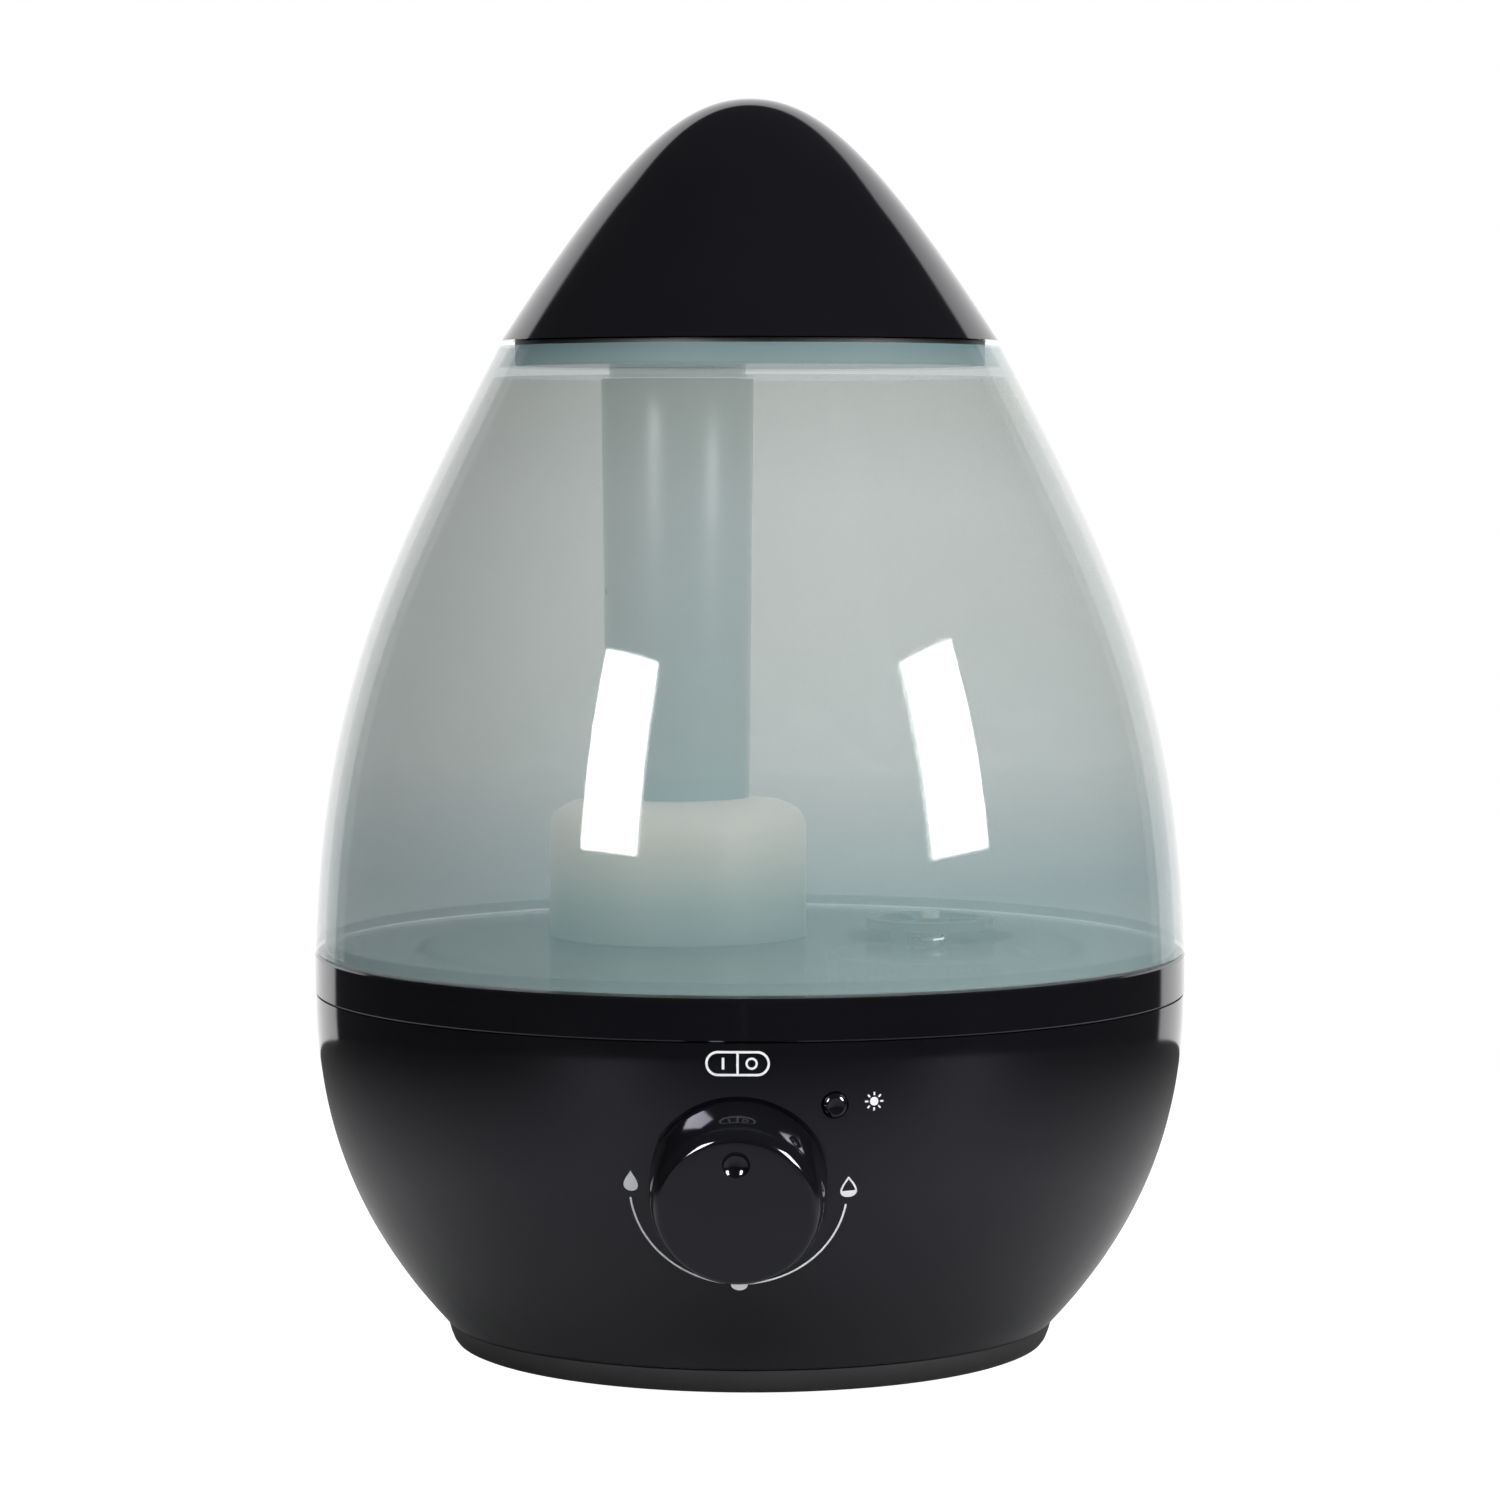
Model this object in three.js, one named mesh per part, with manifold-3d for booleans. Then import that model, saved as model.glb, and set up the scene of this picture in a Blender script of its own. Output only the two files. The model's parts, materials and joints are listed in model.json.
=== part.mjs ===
// Drop-shaped ultrasonic cool mist humidifier, in millimetres, +Z up, front towards -Y.
// A black base bowl holds the electronics and the water basin. A translucent tank stands on it,
// and a black cap with the mist outlet turns on a collar in the tank's mouth.
import * as THREE from 'three';
import { mergeVertices } from 'three/addons/utils/BufferGeometryUtils.js';
import Module from 'manifold-3d';

const wasm = await Module();
wasm.setup();

// ---- driving dimensions ----
const gap = 0.3;                 // clearance left between pieces that touch
const axisY = 7.4;               // the round body's axis, behind the middle of the whole box
const roundSteps = 32;           // facets of the large round pieces
const midSteps = 18;
const smallSteps = 10;
const lap = 0.2;                 // how far one shape runs into another before they are joined

// The outer outline of each shell: the [radius, height] control points of one Bezier curve.
const bowlOutline = [[76.2, 7.1], [96.8, 29.3], [108, 54.5], [108, 88.4]];
const tankOutline = [[108.1, 99.3], [106, 164.3], [89.3, 195.7], [62.1, 248.2]];
const capOutline = [[61.6, 249.6], [30.9, 296.9], [16.3, 309.3], [0, 309.3]];
const bowlPieces = 6;
const tankPieces = 7;
const capPieces = 7;

const bowlWall = 2.6;
const bowlFlangeInner = 69;      // the bowl's open bottom
const bowlFlangeTop = 9.6;

const coverPlate = { radius: 75.6, under: 4.3, top: 6.8, footTop: 2.2 };
const footRing = { outer: 73.8, inner: 71.4, bottom: 1 };
const rubberFoot = { radius: 6, height: 4, circle: 60, angle: 10, chamfer: 0.8 };
const screwPost = { radius: 4, bore: 1.7, boreTop: 20, circle: 63, angle: 30 };
const coverScrew = { headFace: 2.2, headRadius: 3, headBottom: 2.4, headSide: 3.1, headTop: 4 };
const coverScrewShaft = { radius: 1.4, top: 18 };
const boardPeg = { x: 31, rows: [-20, -48], radius: 2.8, pin: 1.2, pinTop: 21 };
const intake = { radius: 23, pitch: 5, slot: 2.8, perSide: 4 };

const rim = { outer: 108.2, inner: 105.8, bottom: 88.7, land: 96, top: 98.6 };
const basin = { inner: 84, outer: 86.4, under: 66, floor: 68.4 };

const chamberX = -18;            // the mist chamber, its duct and the transducer share this axis
const fillX = 45;                // the fill cap, its valve and the post under it share this axis
const valvePost = { radius: 4, top: 80 };
const floatSpot = [-40, -45];
const floatPost = { radius: 2.5, top: 86 };
const floatBody = { bore: 3.1, magnetBore: 5.8, radius: 10, chamfer: 0.8, bottom: 69.5, ledge: 72.1, top: 79 };
const magnet = { inner: 3.3, outer: 5.4, bottom: 69.7, top: 71.7 };
const postClip = { bore: 2.9, radius: 4.6, bottom: 84.9, roof: 86.4, top: 87.8 };
const reedBox = [-6, 6, -2.5, 2.5, 62.1, 65.7];
const lampSpot = [30, -50];
const lampHole = 3;
const lensOutline = [[0, 68.7], [5.6, 68.7], [5.6, 69.7], [4.4, 69.9], [3.6, 71.6], [2, 72.8], [0, 73.2]];
const ledOutline = [[0, 60], [3.4, 60], [3.4, 61.2], [2.5, 61.2], [2.5, 65.5], [1.8, 67], [0, 67.6]];
const fanSpot = [12, 38];
const chimney = { inner: 9.2, outer: 11, top: 92 };

const transducerHole = 12;
const disc = { radius: 12.4, bottom: 63.8, top: 65 };
const sealOutline = [[10.6, 63], [15.5, 63], [15.5, 65.7], [12.8, 65.7], [12.8, 63.5], [10.6, 63.5]];
const clampBoss = { offset: 19.5, radius: 3.2, bore: 1.3, boreTop: 65.6 };
const clampPlate = { radius: 23, bore: 10, bottom: 60.2, top: 62.7, screwHole: 1.5 };
const clampScrew = { headRadius: 2.6, headBottom: 58.3, headTop: 59.9, shaftRadius: 1, shaftTop: 65 };

const tankWall = 2.2;
const tankDeck = { bottom: 240.6, top: 243.1, hole: 17, edge: 1.2 };
const tankFloor = { radius: 105.5, bottom: 99.3, top: 101.8 };
const tankSkirt = { inner: 80.5, outer: 83, bottom: 88 };
const fillNeck = { inner: 21.2, outer: 23.4, bottom: 90.5 };
const mistSkirt = { inner: 29.6, outer: 31.4, bottom: 84, notchWidth: 10, notchTop: 88.5 };
const chamber = { outer: 32, wall: 2.2, shoulder: 129, top: 136 };
const spigot = { outer: 15.3, inner: 13.7, top: 140.5 };
const duct = { bottomRadius: 17.8, topRadius: 18.9, wall: 1.8 };

const collar = { outer: 58.2, inner: 52.3, neck: 54.5, bottom: 243.5, floor: 245.5, step: 249.6, top: 254 };
const collarWall = 2.2;
const baffle = { radius: 25.5, wall: 2, rise: 1.8, legCircle: 22.5, legRadius: 1.7, bottom: 262.5 };
const capWall = 2.4;
const capRib = { inner: 55.2, bottom: 249.9, top: 251.4 };
const outlet = { halfWidth: 17, bottom: 283.5, height: 8, reach: 70 };

const fillCap = { outer: 26.4, skirt: 24.2, bottom: 86, floor: 88.2, skirtTop: 97.5, waterHole: 5 };
const gasket = { inner: 20.9, outer: 23.9, bottom: 88.5, top: 90.2 };
const valveCage = { outer: 16, inner: 12.6, bottom: 104, top: 106.3, hub: 5, guide: 2.9 };
const cageLegWidth = 3.6;
const cageSpokeWidth = 3;
const valve = { stem: 2.4, stemBottom: 80.3, stemTop: 108, disc: 9, discBottom: 93.1, discTop: 94.9 };
const discSeal = { inner: 2.8, outer: 8.4, bottom: 91.6, top: 92.8 };
const spring = { radius: 4.1, wire: 0.45, turns: 4, bottom: 95.5, top: 103.4 };

const knobHeight = 55;           // where the knob's axis leaves the bowl
const knobTilt = 15.7;           // degrees, the axis dips towards the front
const knob = { base: 20.4, face: 17.4, top: 14, bottom: -1.8, roof: 11.4 };
const knobSide = [[20.1, 3], [19.5, 9], [19.1, 11.6], [18.5, 13.2]];
const knobInside = [[16.4, 11.4], [17.3, 10], [18.3, -1.8]];
const knobHub = { radius: 5.5, bottom: 2, bore: 2.9 };
const knobSeat = { radius: 21.4, depth: 2.3, bossRadius: 20.5, bossDepth: 5.5, hole: 4.1 };
const pot = { radius: 8.5, front: -5.8, back: -15.8, bushing: 3.6, bushingTop: 1.4, bore: 3.1 };
const nut = { radius: 6.4, hole: 3.95, bottom: -2, top: -0.2 };
const shaft = { radius: 2.6, bottom: -13.8, top: 10.6, slack: 0.4 };
const dimple = { up: 11.7, sphere: 4, lift: 2.4 };
const drillReach = 10;           // how far a hole through the bowl is drilled each way

const buttonHeight = 74;
const buttonTurn = 11.9;         // degrees round from the front
const buttonTilt = 5.6;
const button = { radius: 2.8, hole: 3.2, flange: 4.2, bottom: -4.4, ledge: -3.2, edge: 0.8, top: 1.9 };
const switchBoard = [-8, 8, -6, 6, -13.9, -12.2];
const switchBody = [-3.2, 3.2, -3.2, 3.2, -12.3, -7.5];
const switchStem = { radius: 1.3, bottom: -7.6, top: -5.9 };

const glandHeight = 30;
const glandTilt = 27.7;
const gland = { flange: 7, body: 4.8, hole: 5.2, bore: 3.2, lip: 5.4 };
const glandSteps = { bottom: -6, ledge: 0.5, side: 1.6, top: 3.4 };

const fan = { inner: 26.2, outer: 28, bottom: 7.1, top: 31, armWidth: 4, armDepth: 2.4, mount: 8.2 };
const stator = { inner: 1.7, outer: 7.4, bottom: 19, top: 28.3 };
const impeller = { hub: 9.8, roof: 12.5, under: 14.2, rim: 26, inner: 8.3, chamfer: 0.9 };
const blade = { count: 7, tip: 24.8, thickness: 1.4, chord: 10, pitch: 38, height: 19.5 };
const fanShaftRod = { radius: 1.1, bottom: 14.5, top: 27.8 };
const airCone = { bottom: 31.3, shoulder: 34, neck: 55.5, top: 65.7, inner: 9.2, outer: 11, wall: 0.6 };

const board = { x: 35, front: -52, back: -16, bottom: 18, top: 19.6, pegHole: 1.6 };
const onBoard = board.top + gap;
const sink = { left: -26, width: 28, back: -46, plate: 3, front: -34, top: 42, fins: 6, fin: 2 };
const transistorBox = [-17, -7, -51, -46.3, onBoard, 36];
const capacitor = { x: 14, y: -42, radius: 6.5, top: 38, chamfer: 0.7 };
const coil = { x: 14, y: -26, inner: 3, outer: 8, top: 27 };
const onCover = coverPlate.top + gap;
const transformerBlocks = [      // the core, its coil and its feet
  [31, 63, -12, 12, onCover, 33],
  [39, 55, -15, 15, 13, 27],
  [27, 66, -6, 6, onCover, 8.6],
];

const deg = Math.PI / 180;

// ---- materials ----
const plastic = (color, roughness) => new THREE.MeshStandardMaterial({ color, roughness, metalness: 0 });
const metal = (color, roughness) => new THREE.MeshStandardMaterial({ color, roughness, metalness: 1 });
const blackGloss = () => plastic(0x16161a, 0.12);
const blackMatt = () => plastic(0x1c1c1f, 0.55);
const tankTint = () => plastic(0x9fb4b6, 0.15);
const ductTint = () => plastic(0x87a6b0, 0.3);
const milky = () => plastic(0xc4cbc6, 0.4);
const rubber = () => plastic(0x2a2a2c, 0.85);
const seal = () => plastic(0xe6e6e2, 0.6);
const steel = () => metal(0xb9bcc0, 0.3);
const aluminium = () => metal(0xc6c9cc, 0.4);

// ---- geometry helpers ----
// A closed solid from any closed geometry: shared vertices merged, flat triangles dropped, faces turned out.
function solid(geometry) {
  const bare = geometry.clone();
  bare.deleteAttribute('normal');
  bare.deleteAttribute('uv');
  const merged = mergeVertices(bare, 1e-4);
  const points = new Float32Array(merged.attributes.position.array);
  const corner = (i) => new THREE.Vector3(points[3 * i], points[3 * i + 1], points[3 * i + 2]);
  const triangles = [];
  let volume = 0;
  for (let i = 0; i < merged.index.count; i += 3) {
    const [a, b, c] = [0, 1, 2].map((k) => merged.index.getX(i + k));
    if (a === b || b === c || c === a) continue;
    triangles.push([a, b, c]);
    volume += corner(a).dot(corner(b).cross(corner(c)));
  }
  const facingOut = volume > 0 ? triangles : triangles.map(([a, b, c]) => [a, c, b]);
  const triVerts = new Uint32Array(facingOut.flat());
  return new wasm.Manifold(new wasm.Mesh({ numProp: 3, vertProperties: points, triVerts }));
}

// A turned solid from [radius, height] points. A profile off the axis closes on itself.
function turned(profile, steps = midSteps) {
  const points = profile.map(([r, z]) => new THREE.Vector2(r, z));
  const first = points[0];
  const last = points[points.length - 1];
  if (first.x > 0 || last.x > 0) points.push(first.clone());
  return solid(new THREE.LatheGeometry(points, steps).rotateX(Math.PI / 2));
}

const rod = (radius, z0, z1, steps = smallSteps) =>
  turned([[0, z0], [radius, z0], [radius, z1], [0, z1]], steps);
const ring = (inner, outer, z0, z1, steps = midSteps) =>
  turned([[inner, z0], [outer, z0], [outer, z1], [inner, z1]], steps);

function block(x0, x1, y0, y1, z0, z1) {
  const box = new THREE.BoxGeometry(x1 - x0, y1 - y0, z1 - z0);
  return solid(box.translate((x0 + x1) / 2, (y0 + y1) / 2, (z0 + z1) / 2));
}

const at = (piece, x, y, z = 0) => piece.translate([x, y, z]);
const turnedAbout = (piece, degrees) => piece.rotate([0, 0, degrees]);
const joined = (...pieces) => pieces.reduce((sum, piece) => sum.add(piece));
const around = (count, make) =>
  Array.from({ length: count }, (_, i) => turnedAbout(make(i), (360 * i) / count));

// An outline's Bezier curve as n straight pieces.
function smooth(outline, n) {
  const curve = new THREE.CubicBezierCurve(...outline.map(([r, z]) => new THREE.Vector2(r, z)));
  return curve.getPoints(n).map((p) => [p.x, p.y]);
}

// The inside of a wall: each point moved in along the curve's normal, the ends kept at their own height.
function inside(curve, wall) {
  return curve.map(([r, z], i) => {
    const [r0, z0] = curve[Math.max(i - 1, 0)];
    const [r1, z1] = curve[Math.min(i + 1, curve.length - 1)];
    const slope = (r1 - r0) / (z1 - z0);
    const stretch = Math.hypot(1, slope);
    const isEnd = i === 0 || i === curve.length - 1;
    return isEnd ? [r - wall * stretch, z] : [r - wall / stretch, z + (wall * slope) / stretch];
  });
}

function radiusAt(outline, height) {
  const curve = smooth(outline, 60);
  const k = curve.findIndex(([, z]) => z >= height);
  const [[r0, z0], [r1, z1]] = [curve[k - 1], curve[k]];
  return r0 + ((r1 - r0) * (height - z0)) / (z1 - z0);
}

const model = new THREE.Group();
model.position.y = axisY;

function put(name, piece, material, parent = model) {
  const { vertProperties, triVerts } = piece.getMesh();
  const geometry = new THREE.BufferGeometry();
  geometry.setAttribute('position', new THREE.BufferAttribute(new Float32Array(vertProperties), 3));
  geometry.setIndex(new THREE.BufferAttribute(new Uint32Array(triVerts), 1));
  geometry.computeVertexNormals();
  const mesh = new THREE.Mesh(geometry, material);
  mesh.name = name;
  parent.add(mesh);
  return mesh;
}

// A frame on the bowl's surface whose +Z points out along an axis dipping by tilt degrees.
function surfaceFrame(height, turn, tilt) {
  const frame = new THREE.Group();
  const radius = radiusAt(bowlOutline, height);
  frame.rotation.order = 'ZYX';
  frame.rotation.set((90 + tilt) * deg, 0, turn * deg);
  frame.position.set(radius * Math.sin(turn * deg), -radius * Math.cos(turn * deg), height);
  model.add(frame);
  frame.updateMatrix();
  return frame;
}

const inFrame = (piece, frame) => piece.transform(frame.matrix.elements);
const drilled = (radius, frame) => inFrame(rod(radius, -drillReach, drillReach), frame);

const knobFrame = surfaceFrame(knobHeight, 0, knobTilt);
const buttonFrame = surfaceFrame(buttonHeight, buttonTurn, buttonTilt);
const glandFrame = surfaceFrame(glandHeight, 180, glandTilt);

const postSpots = [1, -1].flatMap((sx) => [1, -1].map((sy) => [
  sx * screwPost.circle * Math.cos(screwPost.angle * deg),
  sy * screwPost.circle * Math.sin(screwPost.angle * deg),
]));

// ---- base ----
function bowlShell() {
  const outer = smooth(bowlOutline, bowlPieces);
  const inner = inside(outer, bowlWall).filter(([, z]) => z > bowlFlangeTop);
  const [bottomRadius, bottom] = outer[0];
  const flangeRadius = radiusAt(bowlOutline, bowlFlangeTop) - bowlWall;
  const profile = [...outer, ...inner.reverse(), [flangeRadius, bowlFlangeTop],
    [bowlFlangeInner, bowlFlangeTop], [bowlFlangeInner, bottom]];
  const boss = rod(knobSeat.bossRadius, -knobSeat.bossDepth, -knobSeat.depth, midSteps);
  const seat = rod(knobSeat.radius, -knobSeat.depth, knob.top, midSteps);
  const cuts = [
    inFrame(seat, knobFrame),
    drilled(knobSeat.hole, knobFrame),
    drilled(button.hole, buttonFrame),
    drilled(gland.hole, glandFrame),
  ];
  const shell = turned(profile, roundSteps).add(inFrame(boss, knobFrame));
  return shell.subtract(joined(...cuts));
}

function basinTray() {
  const dish = turned([[0, basin.under], [basin.outer, basin.under], [basin.outer, rim.land],
    [rim.inner, rim.land], [rim.inner, rim.bottom], [rim.outer, rim.bottom], [rim.outer, rim.top],
    [basin.inner, rim.top], [basin.inner, basin.floor], [0, basin.floor]], roundSteps);
  const under = basin.under - 6;  // holes through the floor are drilled from here
  const over = basin.floor + 2;
  const clampSpots = [1, -1].map((s) => [chamberX, s * clampBoss.offset]);
  const adds = [
    ...postSpots.map(([x, y]) => at(rod(screwPost.radius, onCover, basin.under + lap), x, y)),
    ...clampSpots.map(([x, y]) => at(rod(clampBoss.radius, clampPlate.top + gap, basin.under + lap), x, y)),
    at(rod(valvePost.radius, basin.floor - lap, valvePost.top), fillX, 0),
    at(rod(floatPost.radius, basin.floor - lap, floatPost.top), ...floatSpot),
    at(rod(chimney.outer, basin.floor - lap, chimney.top, midSteps), ...fanSpot),
  ];
  const cuts = [
    ...postSpots.map(([x, y]) => at(rod(screwPost.bore, 0, screwPost.boreTop), x, y)),
    ...clampSpots.map(([x, y]) => at(rod(clampBoss.bore, under, clampBoss.boreTop), x, y)),
    at(rod(transducerHole, under, over, midSteps), chamberX, 0),
    at(rod(chimney.inner, under, chimney.top + 1, midSteps), ...fanSpot),
    at(rod(lampHole, under, over), ...lampSpot),
  ];
  return joined(dish, ...adds).subtract(joined(...cuts));
}

const pegSpots = [1, -1].flatMap((s) => boardPeg.rows.map((y) => [s * boardPeg.x, y]));

function bottomCover() {
  const { radius, under, top, footTop } = coverPlate;
  const { outer, inner, bottom } = footRing;
  const plate = turned([[0, under], [inner + 1, under], [inner, bottom], [outer - 0.6, bottom],
    [outer + 0.3, footTop], [radius, top], [0, top]], roundSteps);
  const pegs = pegSpots.flatMap(([x, y]) => [
    at(rod(boardPeg.radius, top - lap, board.bottom - gap), x, y),
    at(rod(boardPeg.pin, board.bottom - 1, boardPeg.pinTop), x, y),
  ]);
  const slots = [];
  for (let i = -intake.perSide; i <= intake.perSide; i += 1) {
    const left = intake.pitch * i - intake.slot / 2;
    const half = Math.sqrt(intake.radius ** 2 - (intake.pitch * i) ** 2);
    slots.push(at(block(left, left + intake.slot, -half, half, 0, top + 1), ...fanSpot));
  }
  const holes = postSpots.map(([x, y]) => at(rod(screwPost.bore, 0, top + 1), x, y));
  return joined(plate, ...pegs).subtract(joined(...slots, ...holes));
}

function rubberFootSolid() {
  const { radius, height, chamfer } = rubberFoot;
  return turned([[0, 0], [radius - chamfer, 0], [radius, chamfer], [radius, height], [0, height]], 14);
}

function coverScrewSolid() {
  const { headFace, headRadius, headBottom, headSide, headTop } = coverScrew;
  const head = turned([[0, headBottom], [headFace, headBottom], [headRadius, headSide], [headRadius, headTop],
    [0, headTop]], 12);
  return joined(head, rod(coverScrewShaft.radius, headTop - lap, coverScrewShaft.top, 8));
}

// ---- mist generator ----
const transducerSeal = () => turned(sealOutline);
const transducerDisc = () => rod(disc.radius, disc.bottom, disc.top, midSteps);

function transducerClamp() {
  const { bore, radius, bottom, top, screwHole } = clampPlate;
  const holes = [1, -1].map((s) => at(rod(screwHole, bottom - 1, top + 1), 0, s * clampBoss.offset));
  return ring(bore, radius, bottom, top).subtract(joined(...holes));
}

function clampScrewSolid() {
  const { headRadius, headBottom, headTop, shaftRadius, shaftTop } = clampScrew;
  return joined(rod(headRadius, headBottom, headTop, 12), rod(shaftRadius, headTop - lap, shaftTop, 8));
}

// ---- float and night light ----
function floatRing() {
  const { bore, magnetBore, radius, chamfer, bottom, ledge, top } = floatBody;
  return turned([[bore, ledge], [magnetBore, ledge], [magnetBore, bottom], [radius - chamfer, bottom],
    [radius, bottom + chamfer], [radius, top - chamfer], [radius - chamfer, top], [bore, top]], 16);
}

const floatMagnet = () => ring(magnet.inner, magnet.outer, magnet.bottom, magnet.top, smallSteps);
const floatClip = () => joined(ring(postClip.bore, postClip.radius, postClip.bottom, postClip.roof, smallSteps),
  rod(postClip.radius, postClip.roof - lap, postClip.top));
const reedSwitch = () => block(...reedBox);
const nightLightLens = () => turned(lensOutline, 14);
const nightLightLed = () => turned(ledOutline, 12);

// ---- fan ----
function fanHousing() {
  const { inner, outer, bottom, top, armWidth, armDepth, mount } = fan;
  const half = armWidth / 2;
  const arms = around(3, () => block(mount - 3, inner + 0.8, -half, half, top - armDepth, top));
  return joined(ring(inner, outer, bottom, top, 24), rod(mount, top - armDepth, top), ...arms);
}

const fanStator = () => ring(stator.inner, stator.outer, stator.bottom, stator.top, smallSteps);

function fanImpeller() {
  const { hub, roof, under, rim: edge, inner, chamfer } = impeller;
  const cup = turned([[0, roof], [hub - chamfer, roof], [hub, roof + chamfer], [hub, edge], [inner, edge],
    [inner, under], [0, under]], 21);
  const { count, tip, thickness, chord, pitch, height } = blade;
  const blades = around(count, () => {
    const flat = block(hub - 0.8, tip, -thickness / 2, thickness / 2, -chord / 2, chord / 2);
    return at(flat.rotate([pitch, 0, 0]), 0, 0, height);
  });
  return joined(cup, ...blades);
}

const fanShaft = () => rod(fanShaftRod.radius, fanShaftRod.bottom, fanShaftRod.top);

function airDuct() {
  const { bottom, shoulder, neck, top, inner, outer, wall } = airCone;
  return turned([[fan.inner, bottom], [fan.outer, bottom], [fan.outer, shoulder], [outer, neck], [outer, top],
    [inner, top], [inner, neck - wall], [fan.inner, shoulder - wall]], 24);
}

// ---- electronics ----
function driverBoard() {
  const { x, front, back, bottom, top, pegHole } = board;
  const holes = pegSpots.map(([px, py]) => at(rod(pegHole, bottom - 1, top + 1), px, py));
  return block(-x, x, front, back, bottom, top).subtract(joined(...holes));
}

function heatSink() {
  const { left, width, back, plate, front, top, fins, fin } = sink;
  const pitch = (width - fin) / (fins - 1);
  const finBlocks = Array.from({ length: fins }, (_, i) => {
    const x = left + pitch * i;
    return block(x, x + fin, back + plate - lap, front, onBoard, top);
  });
  return joined(block(left, left + width, back, back + plate, onBoard, top), ...finBlocks);
}

const powerTransistor = () => block(...transistorBox);

function filterCapacitor() {
  const { radius, top, chamfer } = capacitor;
  return turned([[0, onBoard], [radius, onBoard], [radius, top - chamfer], [radius - chamfer, top], [0, top]]);
}

const driveCoil = () => ring(coil.inner, coil.outer, onBoard, coil.top);
const transformer = () => joined(...transformerBlocks.map((box) => block(...box)));

// ---- control: the pieces stand in the knob's own frame ----
function controlPot() {
  const body = rod(pot.radius, pot.back, pot.front, 24);
  const bushing = rod(pot.bushing, pot.front - lap, pot.bushingTop, midSteps);
  const bore = rod(pot.bore, shaft.bottom - shaft.slack, pot.bushingTop + 1, midSteps);
  return joined(body, bushing).subtract(bore);
}

function potNut() {
  const bore = rod(nut.hole, nut.bottom - 1, nut.top + 1, midSteps);
  return rod(nut.radius, nut.bottom, nut.top, 6).subtract(bore);
}

const knobShaft = () => rod(shaft.radius, shaft.bottom, shaft.top, midSteps);

function knobSolid() {
  const { base, face, top, bottom, roof } = knob;
  const skin = turned([[0, roof], ...knobInside, [base, bottom], ...knobSide, [face, top], [0, top]], 24);
  const hub = rod(knobHub.radius, knobHub.bottom, roof + lap, midSteps);
  const bore = rod(knobHub.bore, knobHub.bottom - 1, shaft.top + shaft.slack, midSteps);
  const dent = at(solid(new THREE.SphereGeometry(dimple.sphere, 16, 12)), 0, dimple.up, top + dimple.lift);
  return skin.add(hub).subtract(bore).subtract(dent);
}

function lightButton() {
  const { radius, flange, bottom, ledge, edge, top } = button;
  return turned([[0, bottom], [flange, bottom], [flange, ledge], [radius, ledge], [radius, edge],
    [radius - edge, top - gap], [0, top]], 16);
}

const lightSwitch = () => joined(block(...switchBoard), block(...switchBody),
  rod(switchStem.radius, switchStem.bottom, switchStem.top));

function cordGland() {
  const { flange, body, bore, lip } = gland;
  const { bottom, ledge, side, top } = glandSteps;
  return turned([[bore, bottom], [body, bottom], [body, ledge], [flange, ledge], [flange, side], [lip, top],
    [bore, top]], 16);
}

// ---- tank ----
function tankShell() {
  const outer = smooth(tankOutline, tankPieces);
  const wall = turned([...outer, ...inside(outer, tankWall).reverse()], roundSteps);
  const { bottom, top, hole, edge } = tankDeck;
  const deckRadius = radiusAt(tankOutline, bottom) - tankWall / Math.SQRT2;
  const deck = turned([[0, bottom], [deckRadius, bottom], [deckRadius - edge, top], [0, top]], roundSteps);
  return wall.add(deck).subtract(at(rod(hole, bottom - 1, top + 1, midSteps), chamberX, 0));
}

function tankFloorPlate() {
  const { radius, bottom, top } = tankFloor;
  const joint = bottom + lap;
  const low = mistSkirt.bottom - 1;
  const plate = rod(radius, bottom, top, roundSteps);
  const skirt = ring(tankSkirt.inner, tankSkirt.outer, tankSkirt.bottom, joint, roundSteps);
  const neck = at(ring(fillNeck.inner, fillNeck.outer, fillNeck.bottom, joint), fillX, 0);
  const guard = at(ring(mistSkirt.inner, mistSkirt.outer, mistSkirt.bottom, joint), chamberX, 0);
  const holes = joined(at(rod(fillNeck.inner, low, top + 1, midSteps), fillX, 0),
    at(rod(mistSkirt.inner, low, top + 1, midSteps), chamberX, 0));
  const half = mistSkirt.notchWidth / 2;
  const notches = around(4, () => block(half, mistSkirt.outer + half, -half, half, low, mistSkirt.notchTop))
    .map((notch) => at(turnedAbout(notch, 45), chamberX, 0));
  return joined(plate.subtract(holes), skirt, neck, guard).subtract(joined(...notches));
}

// The chamber's outline goes up outside, over the shoulder to the spigot, and down inside.
function mistChamber() {
  const { outer, wall, shoulder, top } = chamber;
  const bottom = tankFloor.top + gap;
  return turned([[outer, bottom], [outer, shoulder], [outer - 1.4, shoulder + 3.4], [outer - 5, shoulder + 5.6],
    [outer - 11, top], [spigot.outer, top], [spigot.outer, spigot.top], [spigot.inner, spigot.top],
    [spigot.inner, top - wall], [outer - 11, top - wall], [outer - wall - 3.6, shoulder + 3.4],
    [outer - wall, shoulder], [outer - wall, bottom]], 24);
}

function mistDuct() {
  const { bottomRadius: low, topRadius: high, wall } = duct;
  const bottom = chamber.top + gap;
  const top = tankDeck.bottom - gap;
  return turned([[low, bottom], [high, top], [high - wall, top], [low - wall, bottom]]);
}

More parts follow.
